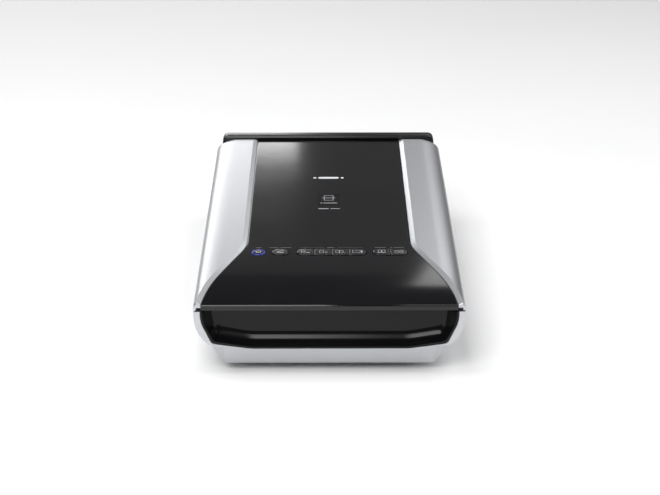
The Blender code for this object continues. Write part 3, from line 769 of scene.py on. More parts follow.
class Solid:
    """A piece under the builder's hands: a primitive that is shaped, cut and finished."""

    def __init__(self, made: bpy.types.Object, name: str) -> None:
        """Takes hold of a new primitive.

        Args:
            made: The primitive's object.
            name: The piece's name.
        """
        self.object = made
        self.object.name = name
        self.object.data.name = name

    # ---- starting shapes ----
    @classmethod
    def block(cls, name: str, start: Point3, end: Point3) -> "Solid":
        """A box between two corners.

        Args:
            name: The solid's name.
            start: Its lowest corner.
            end: Its highest corner.

        Returns:
            The solid.
        """
        deselect()
        middle = (Vector(start) + Vector(end)) / 2 * MM
        bpy.ops.mesh.primitive_cube_add(size=1.0, location=middle)
        made = cls(bpy.context.object, name)
        made.object.scale = (Vector(end) - Vector(start)) * MM
        made._apply_transform()
        return made

    @classmethod
    def pushed(
        cls, name: str, outline: Sequence[Point2], axis: str, start: float, end: float
    ) -> "Solid":
        """An outline extruded along an axis.

        Args:
            name: The piece's name.
            outline: Points in XY for Z, in XZ for Y and in YZ for X.
            axis: X, Y or Z.
            start: Where the extrusion starts along the axis.
            end: Where it ends.

        Returns:
            The piece.
        """
        place: Callable[[float, float], Point3] = {
            "X": lambda u, v: (start, u, v),
            "Y": lambda u, v: (u, start, v),
            "Z": lambda u, v: (u, v, start),
        }[axis]
        deselect()
        bpy.ops.mesh.primitive_circle_add(vertices=len(outline), fill_type="NGON")
        made = cls(bpy.context.object, name)
        made.object.location = (0.0, 0.0, 0.0)
        for vert, (u, v) in zip(made.object.data.vertices, outline):
            vert.co = Vector(place(u, v)) * MM
        step = [(end - start) * MM * (axis == letter) for letter in "XYZ"]
        bpy.ops.object.mode_set(mode="EDIT")
        bpy.ops.mesh.select_all(action="SELECT")
        bpy.ops.mesh.extrude_region_move(TRANSFORM_OT_translate={"value": step})
        made._close_up()
        return made

    @classmethod
    def rolled(
        cls, name: str, sections: Sequence[Sequence[Point3]], ring: bool = False
    ) -> "Solid":
        """A grid rolled into a tube through closed sections, with its ends filled.

        Args:
            name: The piece's name.
            sections: Loops of points with the same number in each.
            ring: True if the last section meets the first.

        Returns:
            The piece.
        """
        loops = [list(loop) + [loop[0]] for loop in sections]
        if ring:
            loops.append(loops[0])
        deselect()
        bpy.ops.mesh.primitive_grid_add(
            x_subdivisions=len(loops[0]) - 1, y_subdivisions=len(loops) - 1
        )
        made = cls(bpy.context.object, name)
        flat = [Vector(point) * MM for loop in loops for point in loop]
        for vert, point in zip(made.object.data.vertices, flat):
            vert.co = point
        bpy.ops.object.mode_set(mode="EDIT")
        bpy.ops.mesh.select_all(action="SELECT")
        bpy.ops.mesh.remove_doubles(threshold=2e-6)
        bpy.ops.mesh.select_all(action="DESELECT")
        bpy.ops.mesh.select_non_manifold(use_wire=False, use_multi_face=False)
        bpy.ops.mesh.fill_holes(sides=0)
        made._close_up()
        return made

    @classmethod
    def lathe(
        cls, name: str, profile: Sequence[Point2], at: Point3, axis: str = "Z", steps: int = 40
    ) -> "Solid":
        """A profile of (radius, height) turned about an axis.

        Args:
            name: The piece's name.
            profile: The profile. A radius of 0 closes an end.
            at: A point on the axis, from which heights are counted.
            axis: X, Y or Z.
            steps: Chords in a turn.

        Returns:
            The piece.
        """
        order = {"X": (2, 0, 1), "Y": (1, 2, 0), "Z": (0, 1, 2)}[axis]
        sections = []
        for radius, height in profile:
            loop = []
            for u, v in arc((0.0, 0.0), max(radius, 1e-4), 0.0, 360.0, steps)[:-1]:
                local = (u, v, height)
                loop.append(tuple(local[order[i]] + at[i] for i in range(3)))
            sections.append(loop)
        return cls.rolled(name, sections)

    # ---- shaping ----
    def _apply_transform(self) -> None:
        """Puts the object's own place and size into its mesh."""
        bpy.ops.object.transform_apply(location=True, rotation=True, scale=True)

    def _close_up(self) -> None:
        """Ends edit mode with every face pointing outwards."""
        bpy.ops.mesh.select_all(action="SELECT")
        bpy.ops.mesh.normals_make_consistent(inside=False)
        bpy.ops.object.mode_set(mode="OBJECT")

    def hold(self) -> None:
        """Selects the piece alone and makes it active."""
        deselect()
        self.object.select_set(True)
        bpy.context.view_layer.objects.active = self.object

    def _modify(self, kind: str, settings: dict[str, object]) -> None:
        """Adds a modifier and applies it.

        Args:
            kind: The modifier's type.
            settings: Its properties.
        """
        self.hold()
        step = self.object.modifiers.new(kind.title(), kind)
        for key, value in settings.items():
            setattr(step, key, value)
        bpy.ops.object.modifier_apply(modifier=step.name)

    def _combine(self, operation: str, tools: Iterable["Solid"]) -> "Solid":
        """Combines the piece with tools, which are used up.

        Args:
            operation: The Boolean modifier's operation.
            tools: The other solids.

        Returns:
            The piece.
        """
        for tool in tools:
            settings = {"operation": operation, "solver": "EXACT", "object": tool.object}
            self._modify("BOOLEAN", settings)
            bpy.data.objects.remove(tool.object)
        return self

    def cut(self, *tools: "Solid") -> "Solid":
        """Cuts tools out of the piece."""
        return self._combine("DIFFERENCE", tools)

    def join(self, *tools: "Solid") -> "Solid":
        """Melts tools into the piece."""
        return self._combine("UNION", tools)

    def meet(self, *tools: "Solid") -> "Solid":
        """Keeps only what the piece and each tool share."""
        return self._combine("INTERSECT", tools)

    def soften(self, width: float, segments: int = 2, angle: float = 40.0) -> "Solid":
        """Rounds the sharp edges.

        Args:
            width: The rounding's width.
            segments: Its facets.
            angle: Edges sharper than this are rounded, in degrees.

        Returns:
            The piece.
        """
        limit = {"limit_method": "ANGLE", "angle_limit": math.radians(angle)}
        self._modify("BEVEL", {"width": width * MM, "segments": segments, **limit})
        return self

    def gather(self, *others: "Solid") -> "Solid":
        """Makes several solids one piece, as separate shells.

        Args:
            others: The solids that join this one.

        Returns:
            The piece.
        """
        self.hold()
        for other in others:
            other.object.select_set(True)
        if others:
            bpy.ops.object.join()
        return self

    def moved(self, matrix: Matrix) -> "Solid":
        """Places the mesh by a matrix whose lengths are in metres.

        Args:
            matrix: Where the mesh goes.

        Returns:
            The piece.
        """
        self.object.data.transform(matrix)
        self.object.data.update()
        return self

    def twin(self, name: str, matrix: Matrix) -> "Solid":
        """A copy with its own mesh, placed by a matrix.

        Args:
            name: The copy's name.
            matrix: Where the copy goes, in metres.

        Returns:
            The copy.
        """
        made = self.object.copy()
        made.data = self.object.data.copy()
        bpy.context.scene.collection.objects.link(made)
        copied = Solid(made, name).moved(matrix)
        if matrix.determinant() < 0:
            copied.hold()
            bpy.ops.object.mode_set(mode="EDIT")
            copied._close_up()
        return copied

    # ---- finishing ----
    def line(self, finish: Finish, inside: Callable[[Vector], bool]) -> "Solid":
        """Gives the faces whose middle is inside some space a second finish.

        Args:
            finish: The second finish.
            inside: Tells whether a point, in millimetres, is in that space.

        Returns:
            The piece.
        """
        mesh = self.object.data
        mesh.materials.append(finish.material())
        for face in mesh.polygons:
            if inside(face.center / MM):
                face.material_index = len(mesh.materials) - 1
        return self

    def dress(self, finish: Finish, angle: float = 30.0) -> "Solid":
        """Gives the piece its finish and smooths its shading.

        Args:
            finish: The finish all over.
            angle: Edges sharper than this stay sharp, in degrees.

        Returns:
            The piece.
        """
        self.hold()
        self.object.data.materials.clear()
        self.object.data.materials.append(finish.material())
        bpy.ops.object.shade_smooth_by_angle(angle=math.radians(angle))
        return self

    def fit(self, body: str, slot: str, *nodes: str) -> "Solid":
        """Fixes the finished piece to a body.

        Args:
            body: The body that it rides on.
            slot: The record's material slot; it is not used.
            nodes: CAD nodes that it stands for.

        Returns:
            The piece.
        """
        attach(self.object, body)
        if nodes:
            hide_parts(*nodes)
        LOG.info("%s rides on %s", self.object.name, body)
        return self


def dress_nodes(finish: Finish, *nodes: str) -> None:
    """Gives CAD nodes that are kept a finish.

    Args:
        finish: The finish.
        nodes: The nodes' names.
    """
    for name in nodes:
        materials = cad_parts[name].data.materials
        materials.clear()
        materials.append(finish.material())
        LOG.info("%s keeps its shape", name)


# ---------------------------------------------------------------------------------------------
# The base
# ---------------------------------------------------------------------------------------------
@dataclass
class Base:
    """The silver pan with its black finger scoop, platen, feet and sockets."""

    wall: float = 2.5
    ledge_z: float = 32.3
    swell: float = 14.5
    chin_run: float = 9.5
    front_corner: float = 2.5
    rear_corner: float = 14.0
    scoop_back_y: float = high("front_scoop").y
    scoop_round: float = 12.0
    scoop_side_round: float = 5.0
    skin: float = 1.9
    socket_seat_y: float = 231.1

    def side(self, inset: float = 0.0) -> list[Point2]:
        """The pan's right side from rim to floor: a swelling hull over a narrower pedestal.

        Args:
            inset: How far inside the skin it runs.

        Returns:
            Points of x and z, from the rim down to the middle.
        """
        hull = []
        for i in range(25):
            depth = i / 24
            x = HALF - inset - self.swell * depth**2.6
            hull.append((x, RIM_Z - (RIM_Z - self.ledge_z) * depth))
        floor = FLOOR_Z + inset
        foot = filleted([(*hull[-1], 0), (104.5 - inset, floor, 5), (0, floor, 0)])
        return hull + foot[1:]

    def underside(self) -> list[Point2]:
        """The lowest height of the pan along Y.

        Returns:
            Points of y and z, from the front to the rear.
        """
        return filleted(
            [
                (FRONT, RIM_Z, 0),
                (FRONT, FLOOR_Z + 23, 6),
                (FRONT + self.chin_run, FLOOR_Z, 2),
                (REAR, FLOOR_Z, 5),
                (REAR, RIM_Z, 0),
            ]
        )[1:-1]

    def half_width(self, y: float, corner: float, front: float, rear: float) -> float:
        """Half the pan's width in plan at y, with its corners rounded."""
        front_loss = quarter_fall(front + self.front_corner - y, self.front_corner)
        return HALF - front_loss - quarter_fall(y - rear + corner, corner)

    def pan(self, name: str, inset: float, top: float, front: float, rear: float) -> Solid:
        """A solid pan, or the room inside it.

        Args:
            name: The solid's name.
            inset: The wall's thickness for the room, else 0.
            top: Its top.
            front: Its front end.
            rear: Its rear end.

        Returns:
            The solid.
        """
        low_line = self.underside()
        corner = self.rear_corner - inset
        stations = [y for y, _ in low_line if front < y < rear] if not inset else []
        turn = [math.sin(math.radians(a)) for a in range(0, 91, 9)]
        stations += [rear - corner + corner * share for share in turn]
        stations += [front + self.front_corner * (1 - share) for share in turn[::2]]
        side = self.side(inset)
        if inset:
            side = [(side[0][0], top)] + side
        else:
            lip = ((0.7, 0.0), (0.2, 0.15), (0.0, 0.6))
            side = [(HALF - dx, RIM_Z - dz) for dx, dz in lip] + side[1:]
        sections = []
        for y in sorted(set(round(s, 4) for s in stations)):
            limit = self.half_width(y, corner, front, rear) - inset
            floor = between(low_line, y) + inset
            half = [(min(x, limit), max(z, floor)) for x, z in side]
            sections.append([(x, y, z) for x, z in mirrored(half)])
        return Solid.rolled(name, sections)

    def mouth(self, inset: float, rise: float) -> list[Point2]:
        """The scoop's outline in the front face, right half, from the top to the middle.

        Args:
            inset: How far inside the opening it runs.
            rise: How far its foot is raised.

        Returns:
            Points of x and z.
        """
        side = [(129.4 - inset - 9.2 * (i / 12) ** 2.6, RIM_Z - 2.2 * i) for i in range(10)]
        foot = [(118.3 - inset, 33.5 + rise, 6), (80, 27.6 + rise, 80), (0, 27.6 + rise, 0)]
        return [(side[0][0], RIM_Z + 6)] + side + filleted([(*side[-1], 0), *foot])[1:]

    def back(self, inset: float, rise: float) -> list[Point2]:
        """The outline to which the scoop narrows at its back, before its last rounding.

        Args:
            inset: How far inside the hollow it runs.
            rise: How far its foot is raised.

        Returns:
            Points of x and z.
        """
        side = [(119.0 - inset - 0.16 * i, RIM_Z - 2.2 * i) for i in range(10)]
        foot = [(115.6 - inset, 34.5 + rise, 6), (80, 28.8 + rise, 80), (0, 28.8 + rise, 0)]
        return [(side[0][0], RIM_Z + 6)] + side + filleted([(*side[-1], 0), *foot])[1:]

    def hollow(self, name: str, inset: float, back_y: float, reach: float) -> Solid:
        """The scoop's hollow: it narrows to the back and turns into the back wall in a round.

        Args:
            name: The solid's name.
            inset: How far its skin lies inside the mouth.
            back_y: Where its back wall is.
            reach: How far it stands out in front of the pan.

        Returns:
            The solid.
        """
        depth = back_y - FRONT
        wide, tight = self.scoop_round, self.scoop_side_round
        turn = [math.sin(math.radians(a)) for a in range(0, 91, 6)]
        steps = [0.0, 2.0, 4.0] + [depth - wide * (1 - share) for share in turn]
        steps += [depth - tight * (1 - share) for share in turn[::2]]
        sections = [[(u, FRONT - reach, v) for u, v in mirrored(self.mouth(inset, inset))]]
        for step in sorted(set(round(s, 3) for s in steps)):
            side = inset + quarter_fall(step - depth + tight, tight)
            rise = inset + quarter_fall(step - depth + wide, wide)
            share = step / depth
            near, far = self.mouth(side, rise), self.back(side, rise)
            half = [
                (a[0] + (b[0] - a[0]) * share, a[1] + (b[1] - a[1]) * share)
                for a, b in zip(near, far)
            ]
            sections.append([(u, FRONT + step, v) for u, v in mirrored(half)])
        return Solid.rolled(name, sections)

    def build_case(self) -> None:
        """The pan itself, hollow, with its scoop and its socket holes."""
        case = self.pan("case_shell", 0.0, RIM_Z, FRONT, REAR)
        room_front = low("platen_frame").y - GAP
        room_rear = REAR - self.wall
        case.cut(self.pan("case_room", self.wall, RIM_Z + 8, room_front, room_rear))
        case.cut(self.hollow("case_scoop", 0.0, self.scoop_back_y + GAP, 5.0))
        for name in ("usb_socket", "power_jack", "film_unit_socket"):
            start, end = low(name), high(name)
            hole = rounded_box((start.x - 0.4, start.z - 0.4), (end.x + 0.4, end.z + 0.4), 0.8, 3)
            case.cut(Solid.pushed(f"{name}_hole", hole, "Y", 232.0, 246.0))
        lock = middle("transport_lock")
        slot = rounded_box((lock.x - 5, lock.y - 3.2), (lock.x + 12, lock.y + 3.2), 3.0, 5)
        case.cut(Solid.pushed("lock_slot", slot, "Z", 4.0, 14.0))
        case.dress(Finish.SILVER, 28.0)
        outline = sorted((z, x) for x, z in self.side())

        def in_room(p: Vector) -> bool:
            """Tells whether a point is on a wall of the room inside.

            Args:
                p: The point, in millimetres.

            Returns:
                True where it is.
            """
            side = between(outline, p.z) - self.wall / 2
            side -= quarter_fall(p.y - REAR + self.rear_corner, self.rear_corner)
            ahead = room_front - 0.1 < p.y < room_rear + 0.1
            return ahead and abs(p.x) < side and FLOOR_Z + 1.0 < p.z < RIM_Z - 0.1

        case.line(Finish.CAVITY, in_room)
        case.fit("base", "silver_paint", "lower_case")

    def build_scoop(self) -> None:
        """The polished lining of the scoop."""
        trim = self.hollow("scoop_lining", GAP, self.scoop_back_y, 4.0)
        keep = Solid.block("scoop_keep", (-140, FRONT + 0.35, 20), (140, -210, FRAME_TOP_Z))
        trim.meet(keep)
        inner = self.hollow("scoop_inner", GAP + self.skin, self.scoop_back_y - self.skin, 5.0)
        trim.cut(inner)
        trim.dress(Finish.TRIM, 30.0).fit("base", "gloss_black", "front_scoop")

    def build_feet(self) -> None:
        """Turned rubber feet with a recessed ring and a screw in each."""
        nodes = [f"foot_{row}_{side}" for row in ("front", "rear") for side in SIDES]
        spots = {node: middle(node) for node in nodes}
        first = spots[nodes[0]]
        rim = [(4.6, 3.0), (4.6, 0.7), (5.2, 0.1), (5.8, 0.0), (7.6, 0.0)]
        top = high(nodes[0]).z
        outer = [(8.5, 0.35), (9.0, 1.2), (8.8, 4.0), (9.0, top), (0.0, top)]
        profile = [(0.0, 3.0)] + rim + outer
        pad = Solid.lathe(f"{nodes[0]}_pad", profile, (first.x, first.y, 0.0))
        pad.dress(Finish.RUBBER, 35.0)
        for node in nodes[1:]:
            shift = Matrix.Translation((spots[node] - first) * MM)
            pad.twin(f"{node}_pad", shift).fit("base", "rubber", node)
        pad.fit("base", "rubber", nodes[0])
        places = {f"{node}_screw": (at.x, at.y, 2.9) for node, at in spots.items()}
        Screw(3.2, -1).build("base", places)

    def build_sockets(self) -> None:
        """The contacts inside the three sockets in the rear wall."""
        dress_nodes(Finish.STEEL, "usb_socket")
        dress_nodes(Finish.GRAINED, "power_jack", "film_unit_socket")
        at = middle("usb_socket")
        x, y, z = at.x, self.socket_seat_y, at.z
        tongue = Solid.block("usb_tongue", (x - 2.6, y, z - 1.1), (x + 2.6, y + 6.9, z + 1.1))
        tongue.soften(0.3).dress(Finish.GRAINED).fit("base", "matt_black")
        contacts = [
            Solid.block(f"usb_contact_{i}", (cx - 0.5, 232, cz), (cx + 0.5, 237.6, cz + 0.25))
            for i, (cx, cz) in enumerate(
                (x + dx, z + dz) for dx in (-1.2, 1.2) for dz in (1.12, -1.37)
            )
        ]
        contacts[0].gather(*contacts[1:]).soften(0.08).dress(Finish.GOLD)
        contacts[0].object.name = "usb_contacts"
        contacts[0].fit("base", "steel")
        at = middle("power_jack")
        pin = [(0.0, y), (0.9, y), (0.9, y + 6.3), (0.6, y + 6.9), (0.0, y + 7.1)]
        pin_solid = Solid.lathe("power_pin", pin, (at.x, 0.0, at.z), "Y", 20)
        pin_solid.dress(Finish.STEEL).fit("base", "steel")
        at = middle("film_unit_socket")
        x, z = at.x, at.z
        pins = [
            Solid.block(f"film_pin_{i}", (px - 0.35, y, z - 0.35), (px + 0.35, 237, z + 0.35))
            for i, px in enumerate(x + dx for dx in (-2.7, -0.9, 0.9, 2.7))
        ]
        pins[0].gather(*pins[1:]).soften(0.1).dress(Finish.GOLD)
        pins[0].object.name = "film_unit_pins"
        pins[0].fit("base", "steel")

    def build_underside(self) -> None:
        """Screws in the floor and a blank rating plate."""
        spots = [(sx * 70.0, y) for sx in SIDES.values() for y in (-120.0, 30.0, 150.0)]
        places = {f"floor_screw_{i}": (x, y, FLOOR_Z - 0.05) for i, (x, y) in enumerate(spots)}
        Screw(3.4, -1).build("base", places)
        plate = rounded_box((-36.0, 60.0), (36.0, 104.0), 3.0)
        label = Solid.pushed("rating_plate", plate, "Z", FLOOR_Z - 0.2, FLOOR_Z - 0.02)
        label.soften(0.05, 1).dress(Finish.LABEL).fit("base", "white_plastic")

    def build_platen(self) -> None:
        """The black frame with its printed paper scale, and the glass."""
        dress_nodes(Finish.GRAINED, "platen_frame")
        dress_nodes(Finish.GLASS, "platen_glass")
        dress_nodes(Finish.WHITE, "calibration_strip")
        edge_x = low("platen_glass").x - 2.0
        front_y = low("platen_glass").y
        ticks = []
        for i in range(0, 30):
            length = 4.0 if i % 5 == 0 else 2.2
            y = front_y + 8.0 + i * 10.0
            ticks.append(((edge_x - length, y - 0.15), (edge_x, y + 0.15)))
        for i in range(0, 22):
            length = 4.0 if i % 5 == 0 else 2.2
            x = edge_x + 8.0 + i * 10.0
            ticks.append(((x - 0.15, front_y - 3.0 - length), (x + 0.15, front_y - 3.0)))
        ink_low, ink_high = FRAME_TOP_Z + 0.01, FRAME_TOP_Z + 0.05
        marks = [
            Solid.block(f"tick_{i}", (*a, ink_low), (*b, ink_high))
            for i, (a, b) in enumerate(ticks)
        ]
        arrow = [(edge_x - 6, front_y - 9), (edge_x - 1, front_y - 7), (edge_x - 4, front_y - 4)]
        marks.append(Solid.pushed("corner_arrow", arrow, "Z", ink_low, ink_high))
        marks[0].gather(*marks[1:]).dress(Finish.PRINT)
        marks[0].object.name = "paper_scale"
        marks[0].fit("base", "white_plastic")

    def build_inside(self) -> None:
        """Finishes for the mechanism that shows through the glass."""
        dress_nodes(Finish.BOARD, "main_board", "sensor_board")
        dress_nodes(Finish.STEEL, "guide_rod", "idler_bracket", "stepper_motor")
        dress_nodes(Finish.GRAINED, "rod_clip_front", "rod_clip_rear", "slide_rail")
        dress_nodes(Finish.GRAINED, "left_hinge_socket", "right_hinge_socket", "transport_lock")
        dress_nodes(Finish.WHITE, "drive_pulley", "idler_pulley", "motor_pinion")
        dress_nodes(Finish.SATIN, "left_hinge_post", "right_hinge_post")
        dress_nodes(Finish.STEEL, "left_hinge_pin", "right_hinge_pin")

    def build_belt(self) -> None:
        """The toothed drive belt, as one loop round its two pulleys."""
        start, end = low("drive_belt"), high("drive_belt")
        x, radius = middle("drive_belt").x, (end.x - start.x) / 2
        front_y, rear_y = start.y + radius, end.y - radius
        pitch, tooth, thick = 2.5, 0.5, 0.7
        run, turn = rear_y - front_y, math.pi * radius
        count = round((2 * run + 2 * turn) / pitch)
        sections = []
        for step in range(count * 4):
            along = (2 * run + 2 * turn) * step / (count * 4)
            if along < run:
                at, out = Vector((x + radius, front_y + along)), Vector((1, 0))
            elif along < run + turn:
                a = (along - run) / radius
                out = Vector((math.cos(a), math.sin(a)))
                at = Vector((x, rear_y)) + out * radius
            elif along < 2 * run + turn:
                at, out = Vector((x - radius, rear_y - (along - run - turn))), Vector((-1, 0))
            else:
                a = math.pi + (along - 2 * run - turn) / radius
                out = Vector((math.cos(a), math.sin(a)))
                at = Vector((x, front_y)) + out * radius
            inner = at - out * (thick + (tooth if step % 4 < 2 else 0.0))
            loop = [(at, start.z), (at, end.z), (inner, end.z), (inner, start.z)]
            sections.append([(p.x, p.y, z) for p, z in loop])
        belt = Solid.rolled("toothed_belt", sections, ring=True)
        belt.dress(Finish.RUBBER, 25.0).fit("base", "rubber", "drive_belt")

    def build_ribbon(self) -> None:
        """The flat cable: it follows the carriage at its loop and the floor at its other end."""
        start, end = low("ribbon_cable"), high("ribbon_cable")
        radius, thick = 5.7, 0.5
        loop_y = start.y + radius
        centre = (loop_y, start.z + radius)
        line = [(end.y, 18.5), (end.y - 2.4, 18.5)]
        line += [(184.0 - i * 8.0, start.z + thick / 2) for i in range(39)]
        line += arc(centre, radius - thick / 2, 265, 95, 20)
        line += [(loop_y + 3.9, start.z + 2 * radius - thick / 2)]
        sections = []
        for i, (y, z) in enumerate(line):
            before, after = line[max(i - 1, 0)], line[min(i + 1, len(line) - 1)]
            ahead = (Vector(after) - Vector(before)).normalized()
            side = Vector((-ahead.y, ahead.x)) * thick / 2
            near, far = Vector((y, z)) - side, Vector((y, z)) + side
            loop = [(start.x, near), (end.x, near), (end.x, far), (start.x, far)]
            sections.append([(x, p.x, p.y) for x, p in loop])
        cable = Solid.rolled("flat_ribbon", sections).dress(Finish.CABLE, 30.0)
        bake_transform(cable.object)
        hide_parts("ribbon_cable")

    def build(self) -> None:
        """Builds all of the base."""
        self.build_case()
        self.build_scoop()
        self.build_feet()
        self.build_sockets()
        self.build_underside()
        self.build_platen()
        self.build_inside()
        self.build_belt()
        self.build_ribbon()


@dataclass
class Screw:
    """A pan-head screw with a cross recess."""

    radius: float
    facing: int

    def build(self, body: str, places: dict[str, Point3]) -> None:
        """Makes one screw and copies it to the other places.

        Args:
            body: The body that they ride on.
            places: Each screw's name and seat.
        """
        (name, at), *others = places.items()
        rise = 0.55 * self.radius * self.facing
        profile = [(0.0, 0.0), (self.radius, 0.0), (self.radius, rise * 0.35)]
        profile += [(self.radius * 0.86, rise * 0.75), (self.radius * 0.5, rise), (0.0, rise)]
        head = Solid.lathe(name, profile, at, "Z", 28)
        arm, thin = self.radius * 0.55, self.radius * 0.14
        x, y, z = at
        base_z, top_z = sorted((z + rise * 0.45, z + rise * 1.4))
        head.cut(Solid.block("slot_x", (x - arm, y - thin, base_z), (x + arm, y + thin, top_z)))
        head.cut(Solid.block("slot_y", (x - thin, y - arm, base_z), (x + thin, y + arm, top_z)))
        head.dress(Finish.DARK_STEEL, 35.0)
        for other, spot in others:
            shift = Matrix.Translation((Vector(spot) - Vector(at)) * MM)
            head.twin(other, shift).fit(body, "steel")
        head.fit(body, "steel")


# ---------------------------------------------------------------------------------------------
# The carriage
# ---------------------------------------------------------------------------------------------
@dataclass
class Carriage:
    """The optical head: its housing, bush, lamp, mirror, lens and sensor."""

    rib_pitch: float = 26.0

    def build_housing(self) -> None:
        """The housing's ribs and the finishes of its parts."""
        dress_nodes(Finish.GRAINED, "carriage_housing")
        dress_nodes(Finish.WHITE, "rod_bush", "belt_clamp")
        dress_nodes(Finish.MIRROR, "fold_mirror")
        dress_nodes(Finish.STEEL, "lens_barrel")
        dress_nodes(Finish.MILK, "lamp_bar")
        start, end = low("carriage_housing"), high("carriage_housing")
        count = int((end.x - start.x) / self.rib_pitch)
        ribs = []
        for i in range(1, count):
            x = start.x + i * (end.x - start.x) / count
            corners = (x - 0.6, start.y + 2, end.z - 0.01), (x + 0.6, start.y + 30, end.z + 0.8)
            ribs.append(Solid.block(f"rib_{i}", *corners).soften(0.3))
        ribs[0].gather(*ribs[1:]).dress(Finish.GRAINED)
        ribs[0].object.name = "housing_ribs"
        ribs[0].fit("carriage", "matt_black")

    def build_lens(self) -> None:
        """The glass in the front of the lens barrel."""
        barrel = middle("lens_barrel")
        at = (barrel.x, high("lens_barrel").y, barrel.z)
        dome = [(0.0, 0.05), (5.6, 0.05), (5.2, 0.7), (3.4, 1.3), (1.4, 1.6), (0.0, 1.65)]
        Solid.lathe("lens_glass", dome, at, "Y", 32).dress(Finish.GUIDE).fit("carriage", "glass")

    def build(self) -> None:
        """Builds all of the carriage."""
        self.build_housing()
        self.build_lens()


# ---------------------------------------------------------------------------------------------
# The lid
# ---------------------------------------------------------------------------------------------
def smooth_max(a: float, b: float, width: float) -> float:
    """The larger of two numbers, blended where they are within width of each other."""
    overlap = max(width - abs(a - b), 0.0) / width
    return max(a, b) + overlap * overlap * width / 4


def quarter_fall(into: float, radius: float) -> float:
    """How far a round edge has fallen away, into millimetres past the start of its rounding."""
    reach = min(max(into, 0.0), radius)
    return radius - math.sqrt(max(radius**2 - reach**2, 0.0))


@dataclass
class LidShape:
    """The lid's surfaces: a panel that falls away at the front, between two crowned wings."""

    panel_half: float = 87.0
    flare_y: float = -109.0
    flare_slope: float = 0.3716
    lip_half: float = 128.4
    lip_slope: float = 0.157
    panel_rear_z: float = high("centre_panel").z
    panel_slope: float = 0.0523
    nose_y: float = -100.0
    nose_fall: float = 2.456e-6
    crest_front_z: float = 72.0
    crest_slope: float = 0.0522
    crest_rise: float = 11.2
    shoulder: float = 22.0
    corner: float = 11.0
    front_corner: float = 2.5
    edge_round: float = 2.2
    lip_round: float = 1.2

    def panel_edge(self, y: float) -> float:
        """Half the panel's width: straight, then flaring through an S to the front.

        Args:
            y: The station.

        Returns:
            The half width.
        """
        flare = self.panel_half - self.flare_slope * (y - self.flare_y)
        front = self.lip_half - self.lip_slope * (y - FRONT)
        return smooth_max(self.panel_half, -smooth_max(-flare, -front, 5.4), 6.0)

    def panel_height(self, y: float) -> float:
        """The panel's height, which falls away towards the front edge.

        Args:
            y: The station.

        Returns:
            The height above the desk.
        """
        fall = max(self.nose_y - y, 0.0)
        rise = self.panel_slope * (y - PANEL_REAR_Y)
        return self.panel_rear_z + rise - self.nose_fall * fall**3

    def crest(self, y: float) -> float:
        """The height of the lid's widest line."""
        return self.crest_front_z + self.crest_slope * (y - FRONT)

    def wing_height(self, x: float, y: float) -> float:
        """The height of a wing's crown: an elliptical shoulder, then level."""
        share = min((HALF - x) / self.shoulder, 1.0)
        return self.crest(y) + self.crest_rise * math.sqrt(max(1 - (1 - share) ** 2, 0.0))

    def wing_half(self, y: float) -> float:
        """Half the lid's width over the wings, which narrows round its corners.

        Args:
            y: The station.

        Returns:
            The half width.
        """
        rear_loss = quarter_fall(y - WING_REAR_Y + self.corner, self.corner)
        front_loss = quarter_fall(FRONT + self.front_corner - y, self.front_corner)
        return HALF - rear_loss - front_loss

    def droop(self, y: float) -> float:
        """How far a wing's top is rounded down at its rear and front ends."""
        rear_fall = quarter_fall(y - WING_REAR_Y + self.edge_round, self.edge_round)
        return rear_fall + quarter_fall(FRONT + self.lip_round - y, self.lip_round)

    def row_matrix(self) -> Matrix:
        """From the button row's own frame, on the panel and tilted with it, to the lid.

        Returns:
            The matrix, in metres.
        """
        rise = self.panel_height(ROW_Y + 1) - self.panel_height(ROW_Y - 1)
        place = Vector((0.0, ROW_Y, self.panel_height(ROW_Y))) * MM
        return Matrix.Translation(place) @ Matrix.Rotation(math.atan2(rise, 2), 4, "X")

    def flat_matrix(self, y: float) -> Matrix:
        """From a flat drawing to the panel's surface, centred at y.

        Args:
            y: The drawing's middle.

        Returns:
            The matrix, in metres.
        """
        rise = self.panel_height(y + 1) - self.panel_height(y - 1)
        place = Vector((0.0, y, self.panel_height(y))) * MM
        return Matrix.Translation(place) @ Matrix.Rotation(math.atan2(rise, 2), 4, "X")


